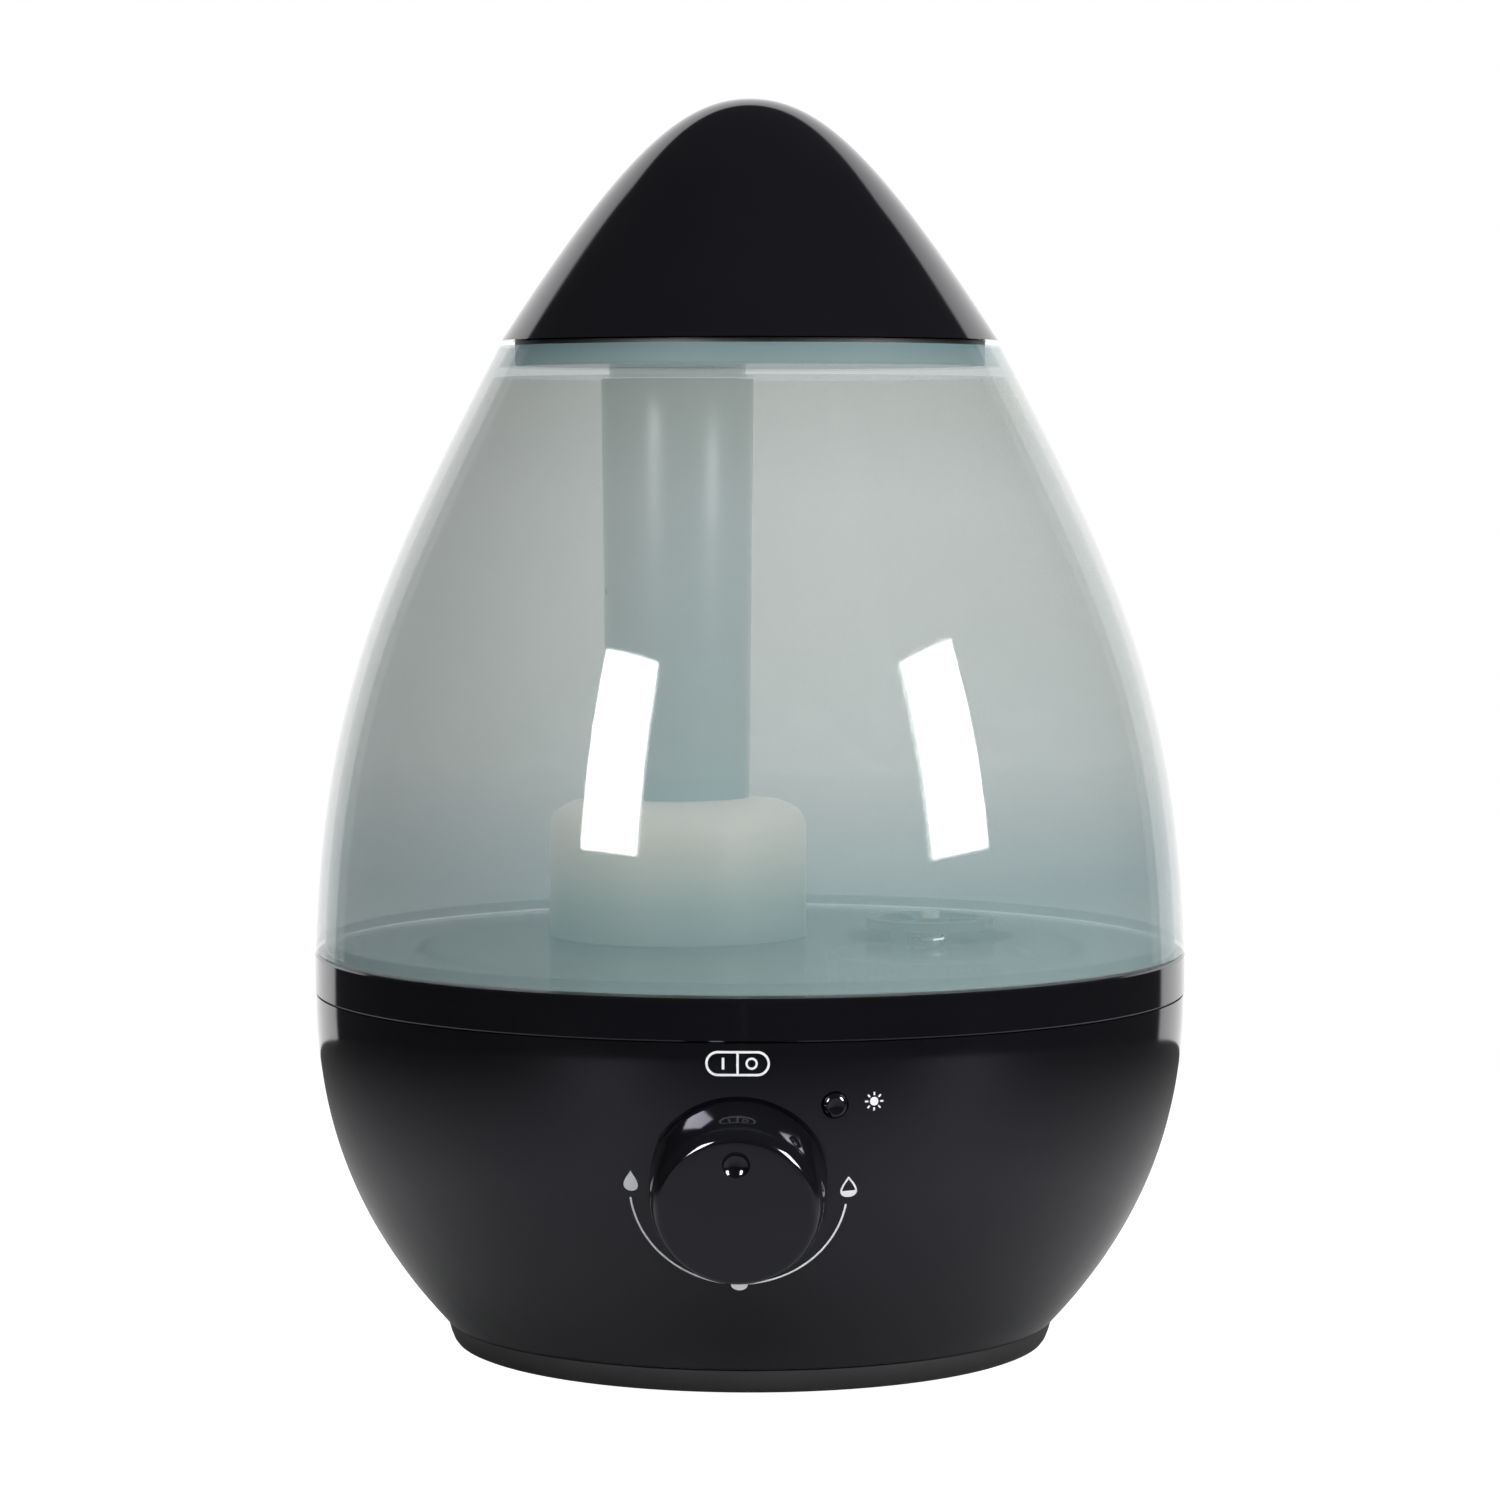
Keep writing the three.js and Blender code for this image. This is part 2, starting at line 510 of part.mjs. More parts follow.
function fillCapSolid() {
  const { outer, skirt, bottom, floor, skirtTop, waterHole } = fillCap;
  const { outer: hoopOuter, inner: hoopInner, bottom: hoopBottom, top: hoopTop, hub, guide } = valveCage;
  const leg = cageLegWidth / 2;
  const spoke = cageSpokeWidth / 2;
  const cup = turned([[waterHole, bottom], [outer, bottom], [outer, skirtTop], [skirt, skirtTop],
    [skirt, floor], [waterHole, floor]], 24);
  const legs = around(3, () => block(hoopInner + lap, hoopOuter - lap, -leg, leg, floor - lap, hoopTop - lap));
  const spokes = around(3, () => block(hub - 1, hoopInner + 1, -spoke, spoke, hoopBottom, hoopTop));
  return joined(cup, ...legs, ...spokes, ring(hoopInner, hoopOuter, hoopBottom, hoopTop),
    ring(guide, hub, hoopBottom, hoopTop));
}

const fillGasket = () => ring(gasket.inner, gasket.outer, gasket.bottom, gasket.top);

function valvePlunger() {
  const { stem, stemBottom, stemTop, disc, discBottom, discTop } = valve;
  return turned([[0, stemBottom], [stem, stemBottom], [stem, discBottom], [disc, discBottom], [disc, discTop],
    [stem, discTop], [stem, stemTop], [0, stemTop]], 14);
}

const valveSeal = () => ring(discSeal.inner, discSeal.outer, discSeal.bottom, discSeal.top, 20);

class Helix extends THREE.Curve {
  getPoint(t) {
    const angle = 2 * Math.PI * spring.turns * t;
    const height = spring.bottom + (spring.top - spring.bottom) * t;
    return new THREE.Vector3(spring.radius * Math.cos(angle), spring.radius * Math.sin(angle), height);
  }
}

function valveSpring() {
  const circle = new THREE.EllipseCurve(0, 0, spring.wire, spring.wire);
  const section = new THREE.Shape(circle.getPoints(5).slice(0, 5));
  const wire = { steps: spring.turns * 9, extrudePath: new Helix(), bevelEnabled: false };
  return solid(new THREE.ExtrudeGeometry(section, wire));
}

// ---- lid ----
function lidCollar() {
  const { outer, inner, neck, bottom, floor, step, top } = collar;
  const lip = outer - collarWall;
  const underStep = step - collarWall;
  const dish = turned([[0, bottom], [neck, bottom], [neck, underStep], [lip, underStep], [lip, bottom],
    [outer, bottom], [outer, step], [neck, step], [neck, top], [inner, top], [inner, floor],
    [0, floor]], roundSteps);
  return dish.subtract(at(rod(tankDeck.hole, bottom - 1, floor + 1, midSteps), chamberX, 0));
}

function splashBaffle() {
  const { radius, wall, rise, legCircle, legRadius, bottom } = baffle;
  const dome = turned([[0, bottom + rise], [radius, bottom], [radius, bottom + wall],
    [0, bottom + rise + wall]]);
  const legs = around(3, () => at(rod(legRadius, collar.floor + gap, bottom + 1), -legCircle, 0));
  return joined(dome, ...legs);
}

function mistCap() {
  const outer = smooth(capOutline, capPieces);
  const inner = inside(outer, capWall);
  inner[inner.length - 1] = [0, capOutline.at(-1)[1] - capWall];
  const wall = turned([...outer, ...inner.reverse()], roundSteps);
  const ribOuter = radiusAt(capOutline, capRib.top) - 1;
  const rib = ring(capRib.inner, ribOuter, capRib.bottom, capRib.top, roundSteps);
  const round = outlet.height / 2;
  const slot = new THREE.Shape();
  slot.absarc(outlet.halfWidth - round, 0, round, -Math.PI / 2, Math.PI / 2);
  slot.absarc(round - outlet.halfWidth, 0, round, Math.PI / 2, 1.5 * Math.PI);
  const depth = { depth: outlet.reach, bevelEnabled: false, curveSegments: 6 };
  const cutter = new THREE.ExtrudeGeometry(slot, depth).rotateX(-Math.PI / 2);
  const opening = at(solid(cutter), 0, 0, outlet.bottom + round);
  return wall.add(rib).subtract(opening);
}

// ---- the assembly ----
function place(name, piece, material, x, y) {
  put(name, piece, material).position.set(x, y, 0);
}

put('bowl_shell', bowlShell(), blackGloss());
put('basin_tray', basinTray(), blackGloss());
put('bottom_cover', bottomCover(), blackMatt());
[0, 1, 2, 3].forEach((i) => {
  const angle = (rubberFoot.angle + 90 * i) * deg;
  const [x, y] = [rubberFoot.circle * Math.cos(angle), rubberFoot.circle * Math.sin(angle)];
  place(`rubber_foot_${i + 1}`, rubberFootSolid(), rubber(), x, y);
  place(`cover_screw_${i + 1}`, coverScrewSolid(), steel(), ...postSpots[i]);
});

place('transducer_seal', transducerSeal(), rubber(), chamberX, 0);
place('transducer_disc', transducerDisc(), steel(), chamberX, 0);
place('transducer_clamp', transducerClamp(), aluminium(), chamberX, 0);
place('clamp_screw_1', clampScrewSolid(), steel(), chamberX, clampBoss.offset);
place('clamp_screw_2', clampScrewSolid(), steel(), chamberX, -clampBoss.offset);

place('float_ring', floatRing(), seal(), ...floatSpot);
place('float_magnet', floatMagnet(), steel(), ...floatSpot);
place('float_clip', floatClip(), blackMatt(), ...floatSpot);
place('reed_switch', reedSwitch(), plastic(0x1f5a46, 0.5), ...floatSpot);
place('night_light_lens', nightLightLens(), milky(), ...lampSpot);
place('night_light_led', nightLightLed(), plastic(0xdde6ee, 0.2), ...lampSpot);

place('fan_housing', fanHousing(), blackMatt(), ...fanSpot);
place('fan_stator', fanStator(), steel(), ...fanSpot);
place('fan_impeller', fanImpeller(), plastic(0x2b2b2e, 0.5), ...fanSpot);
place('fan_shaft', fanShaft(), steel(), ...fanSpot);
place('air_duct', airDuct(), plastic(0xd9dad6, 0.5), ...fanSpot);

put('driver_board', driverBoard(), plastic(0x1f6b3a, 0.5));
put('heat_sink', heatSink(), aluminium());
put('power_transistor', powerTransistor(), blackMatt());
place('filter_capacitor', filterCapacitor(), plastic(0x20304c, 0.4), capacitor.x, capacitor.y);
place('drive_coil', driveCoil(), metal(0xa5612c, 0.4), coil.x, coil.y);
put('transformer', transformer(), metal(0x6e7074, 0.5));

put('control_pot', controlPot(), steel(), knobFrame);
put('pot_nut', potNut(), steel(), knobFrame);
put('knob_shaft', knobShaft(), aluminium(), knobFrame);
put('knob', knobSolid(), blackGloss(), knobFrame);
put('light_switch', lightSwitch(), blackMatt(), buttonFrame);
put('light_button', lightButton(), blackGloss(), buttonFrame);
put('cord_gland', cordGland(), rubber(), glandFrame);

put('tank_shell', tankShell(), tankTint());
put('tank_floor', tankFloorPlate(), tankTint());
place('mist_chamber', mistChamber(), milky(), chamberX, 0);
place('mist_duct', mistDuct(), ductTint(), chamberX, 0);
place('fill_cap', fillCapSolid(), milky(), fillX, 0);
place('fill_gasket', fillGasket(), seal(), fillX, 0);
place('valve_plunger', valvePlunger(), milky(), fillX, 0);
place('valve_seal', valveSeal(), seal(), fillX, 0);
place('valve_spring', valveSpring(), steel(), fillX, 0);

put('lid_collar', lidCollar(), blackMatt());
place('splash_baffle', splashBaffle(), blackMatt(), chamberX, 0);
put('mist_cap', mistCap(), blackGloss());

export default model;
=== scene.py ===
import json
import math

import bpy
from mathutils import Matrix, Vector
from mathutils.geometry import interpolate_bezier


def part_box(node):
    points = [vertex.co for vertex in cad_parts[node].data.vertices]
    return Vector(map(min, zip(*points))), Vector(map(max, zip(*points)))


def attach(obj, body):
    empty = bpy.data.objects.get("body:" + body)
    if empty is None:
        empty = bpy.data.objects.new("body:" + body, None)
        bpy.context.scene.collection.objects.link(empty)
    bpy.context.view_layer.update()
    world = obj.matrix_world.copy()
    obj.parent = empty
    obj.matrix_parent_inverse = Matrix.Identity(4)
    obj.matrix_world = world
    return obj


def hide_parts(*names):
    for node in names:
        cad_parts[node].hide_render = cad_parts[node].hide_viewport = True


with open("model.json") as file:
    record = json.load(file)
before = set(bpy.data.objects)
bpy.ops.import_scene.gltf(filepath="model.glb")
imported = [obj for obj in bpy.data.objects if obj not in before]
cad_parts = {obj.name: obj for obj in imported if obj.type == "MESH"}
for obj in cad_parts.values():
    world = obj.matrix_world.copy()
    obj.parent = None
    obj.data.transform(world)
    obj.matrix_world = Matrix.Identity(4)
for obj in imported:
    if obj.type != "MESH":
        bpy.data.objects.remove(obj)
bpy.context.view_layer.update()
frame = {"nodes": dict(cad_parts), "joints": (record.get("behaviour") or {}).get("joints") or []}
print("frame loaded:", len(frame["nodes"]), "nodes")

mm = 0.001
jointNamed = {joint["name"]: joint for joint in frame["joints"]}


def middleOf(node):
    low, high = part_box(node)
    return (low + high) / 2


bodyAxis = middleOf("tank_shell")      # the round body stands on this axis
ductAxis = middleOf("mist_duct")
fillAxis = middleOf("fill_gasket")
fanAxis = middleOf("fan_housing")

# The three outer outlines, each one Bezier curve through [radius, height] control points.
outlines = {
    "bowl": [(76.2, 7.1), (96.8, 29.3), (108.0, 54.5), (108.0, 88.4)],
    "tank": [(108.1, 99.3), (106.0, 164.3), (89.3, 195.7), (62.1, 248.2)],
    "cap": [(61.6, 249.6), (30.9, 296.9), (16.3, 309.3), (0.0, 309.3)],
}
roundSteps = 160                       # facets round the large pieces
tankSteps = 256                        # finer, because the tank mirrors the lamps
smallSteps = 64


def clearSelection():
    if bpy.context.object and bpy.context.object.mode != "OBJECT":
        bpy.ops.object.mode_set(mode="OBJECT")
    bpy.ops.object.select_all(action="DESELECT")


def pick(piece):
    clearSelection()
    piece.select_set(True)
    bpy.context.view_layer.objects.active = piece


def curvePoints(controls, count=72):
    start, handleA, handleB, end = [Vector((r, z, 0)) for r, z in controls]
    return [(p.x, p.y) for p in interpolate_bezier(start, handleA, handleB, end, count + 1)]


def insideWall(outline, wall):         # the same outline moved in by the wall's thickness
    inner = []
    for i, (r, z) in enumerate(outline):
        before, after = outline[max(i - 1, 0)], outline[min(i + 1, len(outline) - 1)]
        run, rise = after[0] - before[0], after[1] - before[1]
        length = math.hypot(run, rise)
        inner.append((r - wall * rise / length, z + wall * run / length))
    return inner


def radiusAt(outline, height):
    for (r0, z0), (r1, z1) in zip(outline, outline[1:]):
        if z0 <= height <= z1:
            return r0 + (r1 - r0) * (height - z0) / (z1 - z0)
    return outline[-1][0]


def startPoint(name, at):              # a plane merged to one vertex, ready to extrude
    clearSelection()
    bpy.ops.mesh.primitive_plane_add(size=mm, location=(0, 0, 0))
    piece = bpy.context.object
    piece.name = name
    piece.data.name = name
    bpy.ops.object.mode_set(mode="EDIT")
    bpy.ops.mesh.select_all(action="SELECT")
    bpy.ops.mesh.merge(type="CENTER")
    bpy.ops.transform.translate(value=at)
    return piece


# Turns [radius, height] points in mm round a vertical axis.
def spinPiece(name, profile, axis=(0, 0), steps=roundSteps):
    centre = Vector((axis[0], axis[1], 0))
    points = list(profile)
    if points[0][0] > 0 or points[-1][0] > 0:
        points.append(points[0])       # a ring closes on itself
    spots = [centre + Vector((r * mm, 0, z * mm)) for r, z in points]
    piece = startPoint(name, spots[0])
    for here, there in zip(spots, spots[1:]):
        bpy.ops.mesh.extrude_region_move(TRANSFORM_OT_translate={"value": there - here})
    bpy.ops.mesh.select_all(action="SELECT")
    bpy.ops.mesh.spin(steps=steps, angle=math.tau, center=centre, axis=(0, 0, 1))
    bpy.ops.mesh.select_all(action="SELECT")
    bpy.ops.mesh.remove_doubles(threshold=1e-6)
    bpy.ops.mesh.normals_make_consistent(inside=False)
    bpy.ops.object.mode_set(mode="OBJECT")
    return piece


def rodPiece(name, radius, bottom, top, axis=(0, 0), steps=smallSteps):
    return spinPiece(name, [(0, bottom), (radius, bottom), (radius, top), (0, top)], axis, steps)


def boxPiece(name, low, high):         # corners in mm
    clearSelection()
    low, high = Vector(low) * mm, Vector(high) * mm
    bpy.ops.mesh.primitive_cube_add(size=1, location=(low + high) / 2, scale=high - low)
    bpy.ops.object.transform_apply(location=True, rotation=True, scale=True)
    piece = bpy.context.object
    piece.name = name
    return piece


def applyModifier(piece, modifier):
    pick(piece)
    bpy.ops.object.modifier_apply(modifier=modifier.name)


def combine(piece, others, operation):
    for other in others:
        modifier = piece.modifiers.new("join", "BOOLEAN")
        modifier.operation = operation
        modifier.solver = "EXACT"
        modifier.object = other
        applyModifier(piece, modifier)
        bpy.data.objects.remove(other)
    return piece


def softenEdges(piece, width, angle=30, segments=2):
    modifier = piece.modifiers.new("edges", "BEVEL")
    modifier.width = width * mm
    modifier.segments = segments
    modifier.limit_method = "ANGLE"
    modifier.angle_limit = math.radians(angle)
    modifier.use_clamp_overlap = True
    applyModifier(piece, modifier)


def smoothShade(piece, angle=30):
    pick(piece)
    bpy.ops.object.shade_smooth_by_angle(angle=math.radians(angle))


def moveBy(piece, matrix):             # places a piece that was made at the origin
    piece.matrix_world = matrix
    pick(piece)
    bpy.ops.object.transform_apply(location=True, rotation=True, scale=True)
    return piece


def copyTo(piece, name, spot):         # a copy with its own mesh, standing at a spot of the floor plan
    twin = piece.copy()
    twin.data = piece.data.copy()
    twin.name = name
    twin.data.name = name
    bpy.context.collection.objects.link(twin)
    return moveBy(twin, Matrix.Translation((spot.x, spot.y, 0)))


def settle(piece, material, body, slot, *nodes):
    piece.data.materials.clear()
    piece.data.materials.append(material)
    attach(piece, body)
    if nodes:
        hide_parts(*nodes)
    return piece


# A Principled surface with its own cloudiness, grain and fine bump.
def newMaterial(name, look):
    material = bpy.data.materials.new(name)
    material.use_nodes = True
    nodes, links = material.node_tree.nodes, material.node_tree.links
    shader = nodes["Principled BSDF"]
    shader.inputs["Metallic"].default_value = look.get("metallic", 0.0)
    shader.inputs["IOR"].default_value = look.get("ior", 1.5)
    shader.inputs["Alpha"].default_value = look.get("alpha", 1.0)
    shader.inputs["Specular Tint"].default_value = (*look.get("gloss", (1, 1, 1)), 1)
    shader.inputs["Emission Strength"].default_value = look.get("glow", 0.0)
    shader.inputs["Subsurface Weight"].default_value = look.get("translucent", 0.0)
    shader.inputs["Subsurface Radius"].default_value = (1, 1, 1)
    shader.inputs["Subsurface Scale"].default_value = 0.004
    place = nodes.new("ShaderNodeTexCoord")
    cloud = nodes.new("ShaderNodeTexNoise")
    cloud.inputs["Scale"].default_value = look.get("cloudScale", 30)
    cloud.inputs["Detail"].default_value = 4
    links.new(place.outputs["Object"], cloud.inputs["Vector"])
    tint = nodes.new("ShaderNodeMix")
    tint.data_type = "RGBA"
    tint.inputs["A"].default_value = (*look["colour"], 1)
    tint.inputs["B"].default_value = (*look.get("shade", [c * 0.85 for c in look["colour"]]), 1)
    links.new(cloud.outputs["Fac"], tint.inputs["Factor"])
    links.new(tint.outputs["Result"], shader.inputs["Base Color"])
    wear = nodes.new("ShaderNodeMapRange")
    wear.inputs["From Min"].default_value = 0.3
    wear.inputs["From Max"].default_value = 0.7
    wear.inputs["To Min"].default_value = look["roughness"][0]
    wear.inputs["To Max"].default_value = look["roughness"][1]
    links.new(cloud.outputs["Fac"], wear.inputs["Value"])
    links.new(wear.outputs["Result"], shader.inputs["Roughness"])
    grain = nodes.new("ShaderNodeTexNoise")
    grain.inputs["Scale"].default_value = look.get("grainScale", 900)
    grain.inputs["Detail"].default_value = 2
    links.new(place.outputs["Object"], grain.inputs["Vector"])
    bump = nodes.new("ShaderNodeBump")
    bump.inputs["Strength"].default_value = look.get("bump", 0.05)
    bump.inputs["Distance"].default_value = look.get("bumpDepth", 0.0001)
    links.new(grain.outputs["Fac"], bump.inputs["Height"])
    links.new(bump.outputs["Normal"], shader.inputs["Normal"])
    return material


blackGloss = newMaterial("blackGloss", {
    "colour": (0.004, 0.004, 0.0055), "shade": (0.006, 0.006, 0.0075), "gloss": (0.88, 0.87, 1.0),
    "roughness": (0.06, 0.11), "bump": 0.015})
blackMatt = newMaterial("blackMatt", {
    "colour": (0.016, 0.016, 0.018), "roughness": (0.45, 0.6), "bump": 0.35, "grainScale": 1400})
rubber = newMaterial("footRubber", {
    "colour": (0.022, 0.022, 0.024), "roughness": (0.75, 0.92), "bump": 0.5, "grainScale": 2200})
milky = newMaterial("milkyPlastic", {
    "colour": (0.88, 0.88, 0.82), "shade": (0.80, 0.82, 0.78), "roughness": (0.3, 0.45), "alpha": 0.75,
    "translucent": 0.8, "bump": 0.05})
fillCapTint = newMaterial("fillCapTint", {
    "colour": (0.36, 0.46, 0.46), "shade": (0.31, 0.41, 0.41), "roughness": (0.25, 0.4), "alpha": 0.5,
    "bump": 0.05})
sealWhite = newMaterial("sealSilicone", {
    "colour": (0.78, 0.78, 0.75), "roughness": (0.5, 0.65), "bump": 0.15})
steel = newMaterial("brightSteel", {
    "colour": (0.50, 0.51, 0.53), "metallic": 1, "roughness": (0.22, 0.4), "bump": 0.12, "grainScale": 1600})
aluminium = newMaterial("brushedAluminium", {
    "colour": (0.60, 0.61, 0.63), "metallic": 1, "roughness": (0.3, 0.5), "bump": 0.15, "grainScale": 1200})
boardGreen = newMaterial("boardGreen", {
    "colour": (0.012, 0.14, 0.05), "shade": (0.008, 0.10, 0.036), "roughness": (0.3, 0.45), "bump": 0.1,
    "cloudScale": 140})
copper = newMaterial("coilCopper", {
    "colour": (0.55, 0.22, 0.08), "metallic": 1, "roughness": (0.25, 0.4), "bump": 0.3, "grainScale": 2400})
printWhite = newMaterial("printWhite", {
    "colour": (0.95, 0.96, 0.97), "shade": (0.90, 0.91, 0.92), "roughness": (0.35, 0.5), "bump": 0.1})
ductTeal = newMaterial("ductTeal", {
    "colour": (0.15, 0.38, 0.46), "shade": (0.12, 0.34, 0.42), "roughness": (0.25, 0.4), "alpha": 0.9,
    "bump": 0.05})
sleeve = newMaterial("capacitorSleeve", {
    "colour": (0.012, 0.02, 0.06), "roughness": (0.3, 0.45), "bump": 0.1})
clearResin = newMaterial("clearResin", {
    "colour": (0.80, 0.84, 0.86), "roughness": (0.08, 0.15), "alpha": 0.55, "bump": 0.03})


shadowColour = (0.10, 0.15, 0.16, 1)


# Paints light and shade into a material's colour by height between a node's bottom and top. Each stop is
# [place, colour], and cloud is how much of the shadow colour its clouds take.
def paintLightByHeight(material, node, stops, cloud=0.12):
    nodes, links = material.node_tree.nodes, material.node_tree.links
    low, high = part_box(node)
    split = nodes.new("ShaderNodeSeparateXYZ")
    links.new(nodes["Texture Coordinate"].outputs["Object"], split.inputs["Vector"])
    height = nodes.new("ShaderNodeMapRange")
    height.inputs["From Min"].default_value = low.z
    height.inputs["From Max"].default_value = high.z
    links.new(split.outputs["Z"], height.inputs["Value"])
    ramp = nodes.new("ShaderNodeValToRGB")
    while len(ramp.color_ramp.elements) < len(stops):
        ramp.color_ramp.elements.new(0.5)
    for element, (position, colour) in zip(ramp.color_ramp.elements, stops):
        element.position = position
        element.color = (*colour, 1)
    links.new(height.outputs["Result"], ramp.inputs["Fac"])
    cloudy = nodes.new("ShaderNodeMix")
    cloudy.data_type = "RGBA"
    cloudy.inputs["Factor"].default_value = cloud
    cloudy.inputs["B"].default_value = shadowColour
    links.new(ramp.outputs["Color"], cloudy.inputs["A"])
    links.new(ramp.outputs["Color"], nodes["Mix"].inputs["A"])
    links.new(cloudy.outputs["Result"], nodes["Mix"].inputs["B"])
    # where the material glows, the same painted light and shade colour its glow
    if nodes["Principled BSDF"].inputs["Emission Strength"].default_value > 0:
        links.new(ramp.outputs["Color"], nodes["Principled BSDF"].inputs["Emission Color"])


# Smoky teal with painted light and shade by height that lets the duct and the chamber show through, and milky
# white with a painted glow that fades into painted shade low down.
tankTeal = newMaterial("tankTeal", {
    "colour": (0.3, 0.36, 0.36), "roughness": (0.03, 0.05), "alpha": 0.4, "bump": 0.003, "grainScale": 110,
    "cloudScale": 18})
# painted light and shade: pale through the middle, darker teal low down and at the top under the cap
paintLightByHeight(tankTeal, "tank_shell", [
    (0.0, (0.34, 0.46, 0.46)), (0.14, (0.25, 0.37, 0.38)), (0.34, (0.46, 0.53, 0.51)),
    (0.75, (0.46, 0.50, 0.48)), (0.93, (0.38, 0.42, 0.39)), (1.0, (0.24, 0.38, 0.41))])
# the chamber's glow is painted light, as it is no lamp
chamberWhite = newMaterial("chamberWhite", {
    "colour": (0.94, 0.86, 0.79), "roughness": (0.3, 0.45), "alpha": 0.7, "translucent": 0.8, "glow": 0.22,
    "bump": 0.05})
# painted shade: the chamber goes dark teal towards its bottom, and its painted glow fades with it
paintLightByHeight(chamberWhite, "mist_chamber", [
    (0.0, (0.30, 0.40, 0.38)), (0.3, (0.66, 0.68, 0.62)), (0.7, (0.95, 0.88, 0.80)),
    (1.0, (1.0, 0.95, 0.88))], cloud=0.05)
print("materials ready")


camera = {"distance": 1.163, "height": 0.2251, "turn": 1.5, "dip": 3.79, "lens": 112.2, "sensor": 36,
          "reach": 20}


def setCamera():
    turn = math.radians(camera["turn"])
    x = bodyAxis.x + camera["distance"] * math.sin(turn)
    y = bodyAxis.y - camera["distance"] * math.cos(turn)
    bpy.ops.object.camera_add(location=(x, y, camera["height"]),
                              rotation=(math.radians(90 - camera["dip"]), 0, turn))
    bpy.context.scene.camera = bpy.context.object
    bpy.context.object.data.lens = camera["lens"]
    bpy.context.object.data.sensor_width = camera["sensor"]
    bpy.context.object.data.clip_end = camera["reach"]


stripLights = [                        # azimuth is from the front, towards +X
    {"name": "leftStrip", "azimuth": -34.5, "elevation": 18.6, "size": (0.316, 0.51), "power": 27},
    {"name": "rightStrip", "azimuth": 56.5, "elevation": 17.0, "size": (0.35, 0.50), "power": 27},
]
stripDistance = 1.2
softLights = [
    {"name": "topSoft", "spot": (0, -0.6, 2.0), "size": (1.8, 1.8), "power": 46},
    {"name": "rightSoft", "spot": (1.5, -1.3, 0.9), "size": (1.2, 1.2), "power": 38},
    {"name": "leftSoft", "spot": (-1.6, -1.0, 0.9), "size": (1.2, 1.2), "power": 8},
    {"name": "backSoft", "spot": (0.2, 1.9, 1.1), "size": (1.6, 1.2), "power": 30},
]
target = Vector((bodyAxis.x, bodyAxis.y, 0.17))


def areaLight(name, spot, size, power):
    clearSelection()
    aim = (target - spot).to_track_quat("-Z", "Y").to_euler()
    bpy.ops.object.light_add(type="AREA", location=spot, rotation=aim)
    lamp = bpy.context.object
    lamp.name = name
    lamp.data.shape = "RECTANGLE"
    lamp.data.size, lamp.data.size_y = size
    lamp.data.energy = power
    lamp.visible_camera = False
    return lamp


def setLights():
    for strip in stripLights:
        around, up = math.radians(strip["azimuth"]), math.radians(strip["elevation"])
        away = Vector((math.sin(around) * math.cos(up), -math.cos(around) * math.cos(up), math.sin(up)))
        lamp = areaLight(strip["name"], target + away * stripDistance, strip["size"], strip["power"])
        lamp.visible_diffuse = False
    for soft in softLights:
        lamp = areaLight(soft["name"], Vector(soft["spot"]), soft["size"], soft["power"])
        lamp.visible_glossy = False
        lamp.data.cycles.use_multiple_importance_sampling = False  # keeps its unseen reflection free of noise


worldLook = {"back": 1.2, "front": 0.04, "across": 0.87, "up": 0.92, "blur": 0.03, "least": 0.001}


# White to the camera; for all else a bright screen behind the piece and a dim room round it.
def setWorld():
    world = bpy.data.worlds.new("studio")
    bpy.context.scene.world = world
    world.use_nodes = True
    nodes, links = world.node_tree.nodes, world.node_tree.links

    def calculate(operation, first, second=None):
        node = nodes.new("ShaderNodeMath")
        node.operation = operation
        for socket, value in zip(node.inputs, (first, second)):
            if isinstance(value, (int, float)):
                socket.default_value = value
            elif value is not None:
                links.new(value, socket)
        return node.outputs[0]

    place = nodes.new("ShaderNodeTexCoord")
    split = nodes.new("ShaderNodeSeparateXYZ")
    links.new(place.outputs["Generated"], split.inputs["Vector"])
    ahead = calculate("MAXIMUM", split.outputs["Y"], worldLook["least"])
    across = calculate("DIVIDE", calculate("ABSOLUTE", split.outputs["X"]), ahead)
    up = calculate("DIVIDE", split.outputs["Z"], ahead)
    reach = calculate("MAXIMUM", calculate("DIVIDE", across, worldLook["across"]),
                      calculate("DIVIDE", up, worldLook["up"]))
    screen = nodes.new("ShaderNodeMapRange")
    screen.inputs["From Min"].default_value = 1 - worldLook["blur"]
    screen.inputs["From Max"].default_value = 1 + worldLook["blur"]
    screen.inputs["To Min"].default_value = worldLook["back"]
    screen.inputs["To Max"].default_value = worldLook["front"]
    links.new(reach, screen.inputs["Value"])
    ray = nodes.new("ShaderNodeLightPath")
    seen = nodes.new("ShaderNodeMix")
    links.new(ray.outputs["Is Camera Ray"], seen.inputs["Factor"])
    links.new(screen.outputs["Result"], seen.inputs["A"])
    seen.inputs["B"].default_value = 1.0
    background = nodes["Background"]
    links.new(seen.outputs["Result"], background.inputs["Strength"])
    background.inputs["Color"].default_value = (1, 1, 1, 1)


floorDisc = {"radius": 0.55, "sides": 96, "near": 0.36, "far": 0.02, "fade": 0.5, "seen": 1.0, "shed": 0.02,
             "roughness": 0.7, "shine": 0.1}


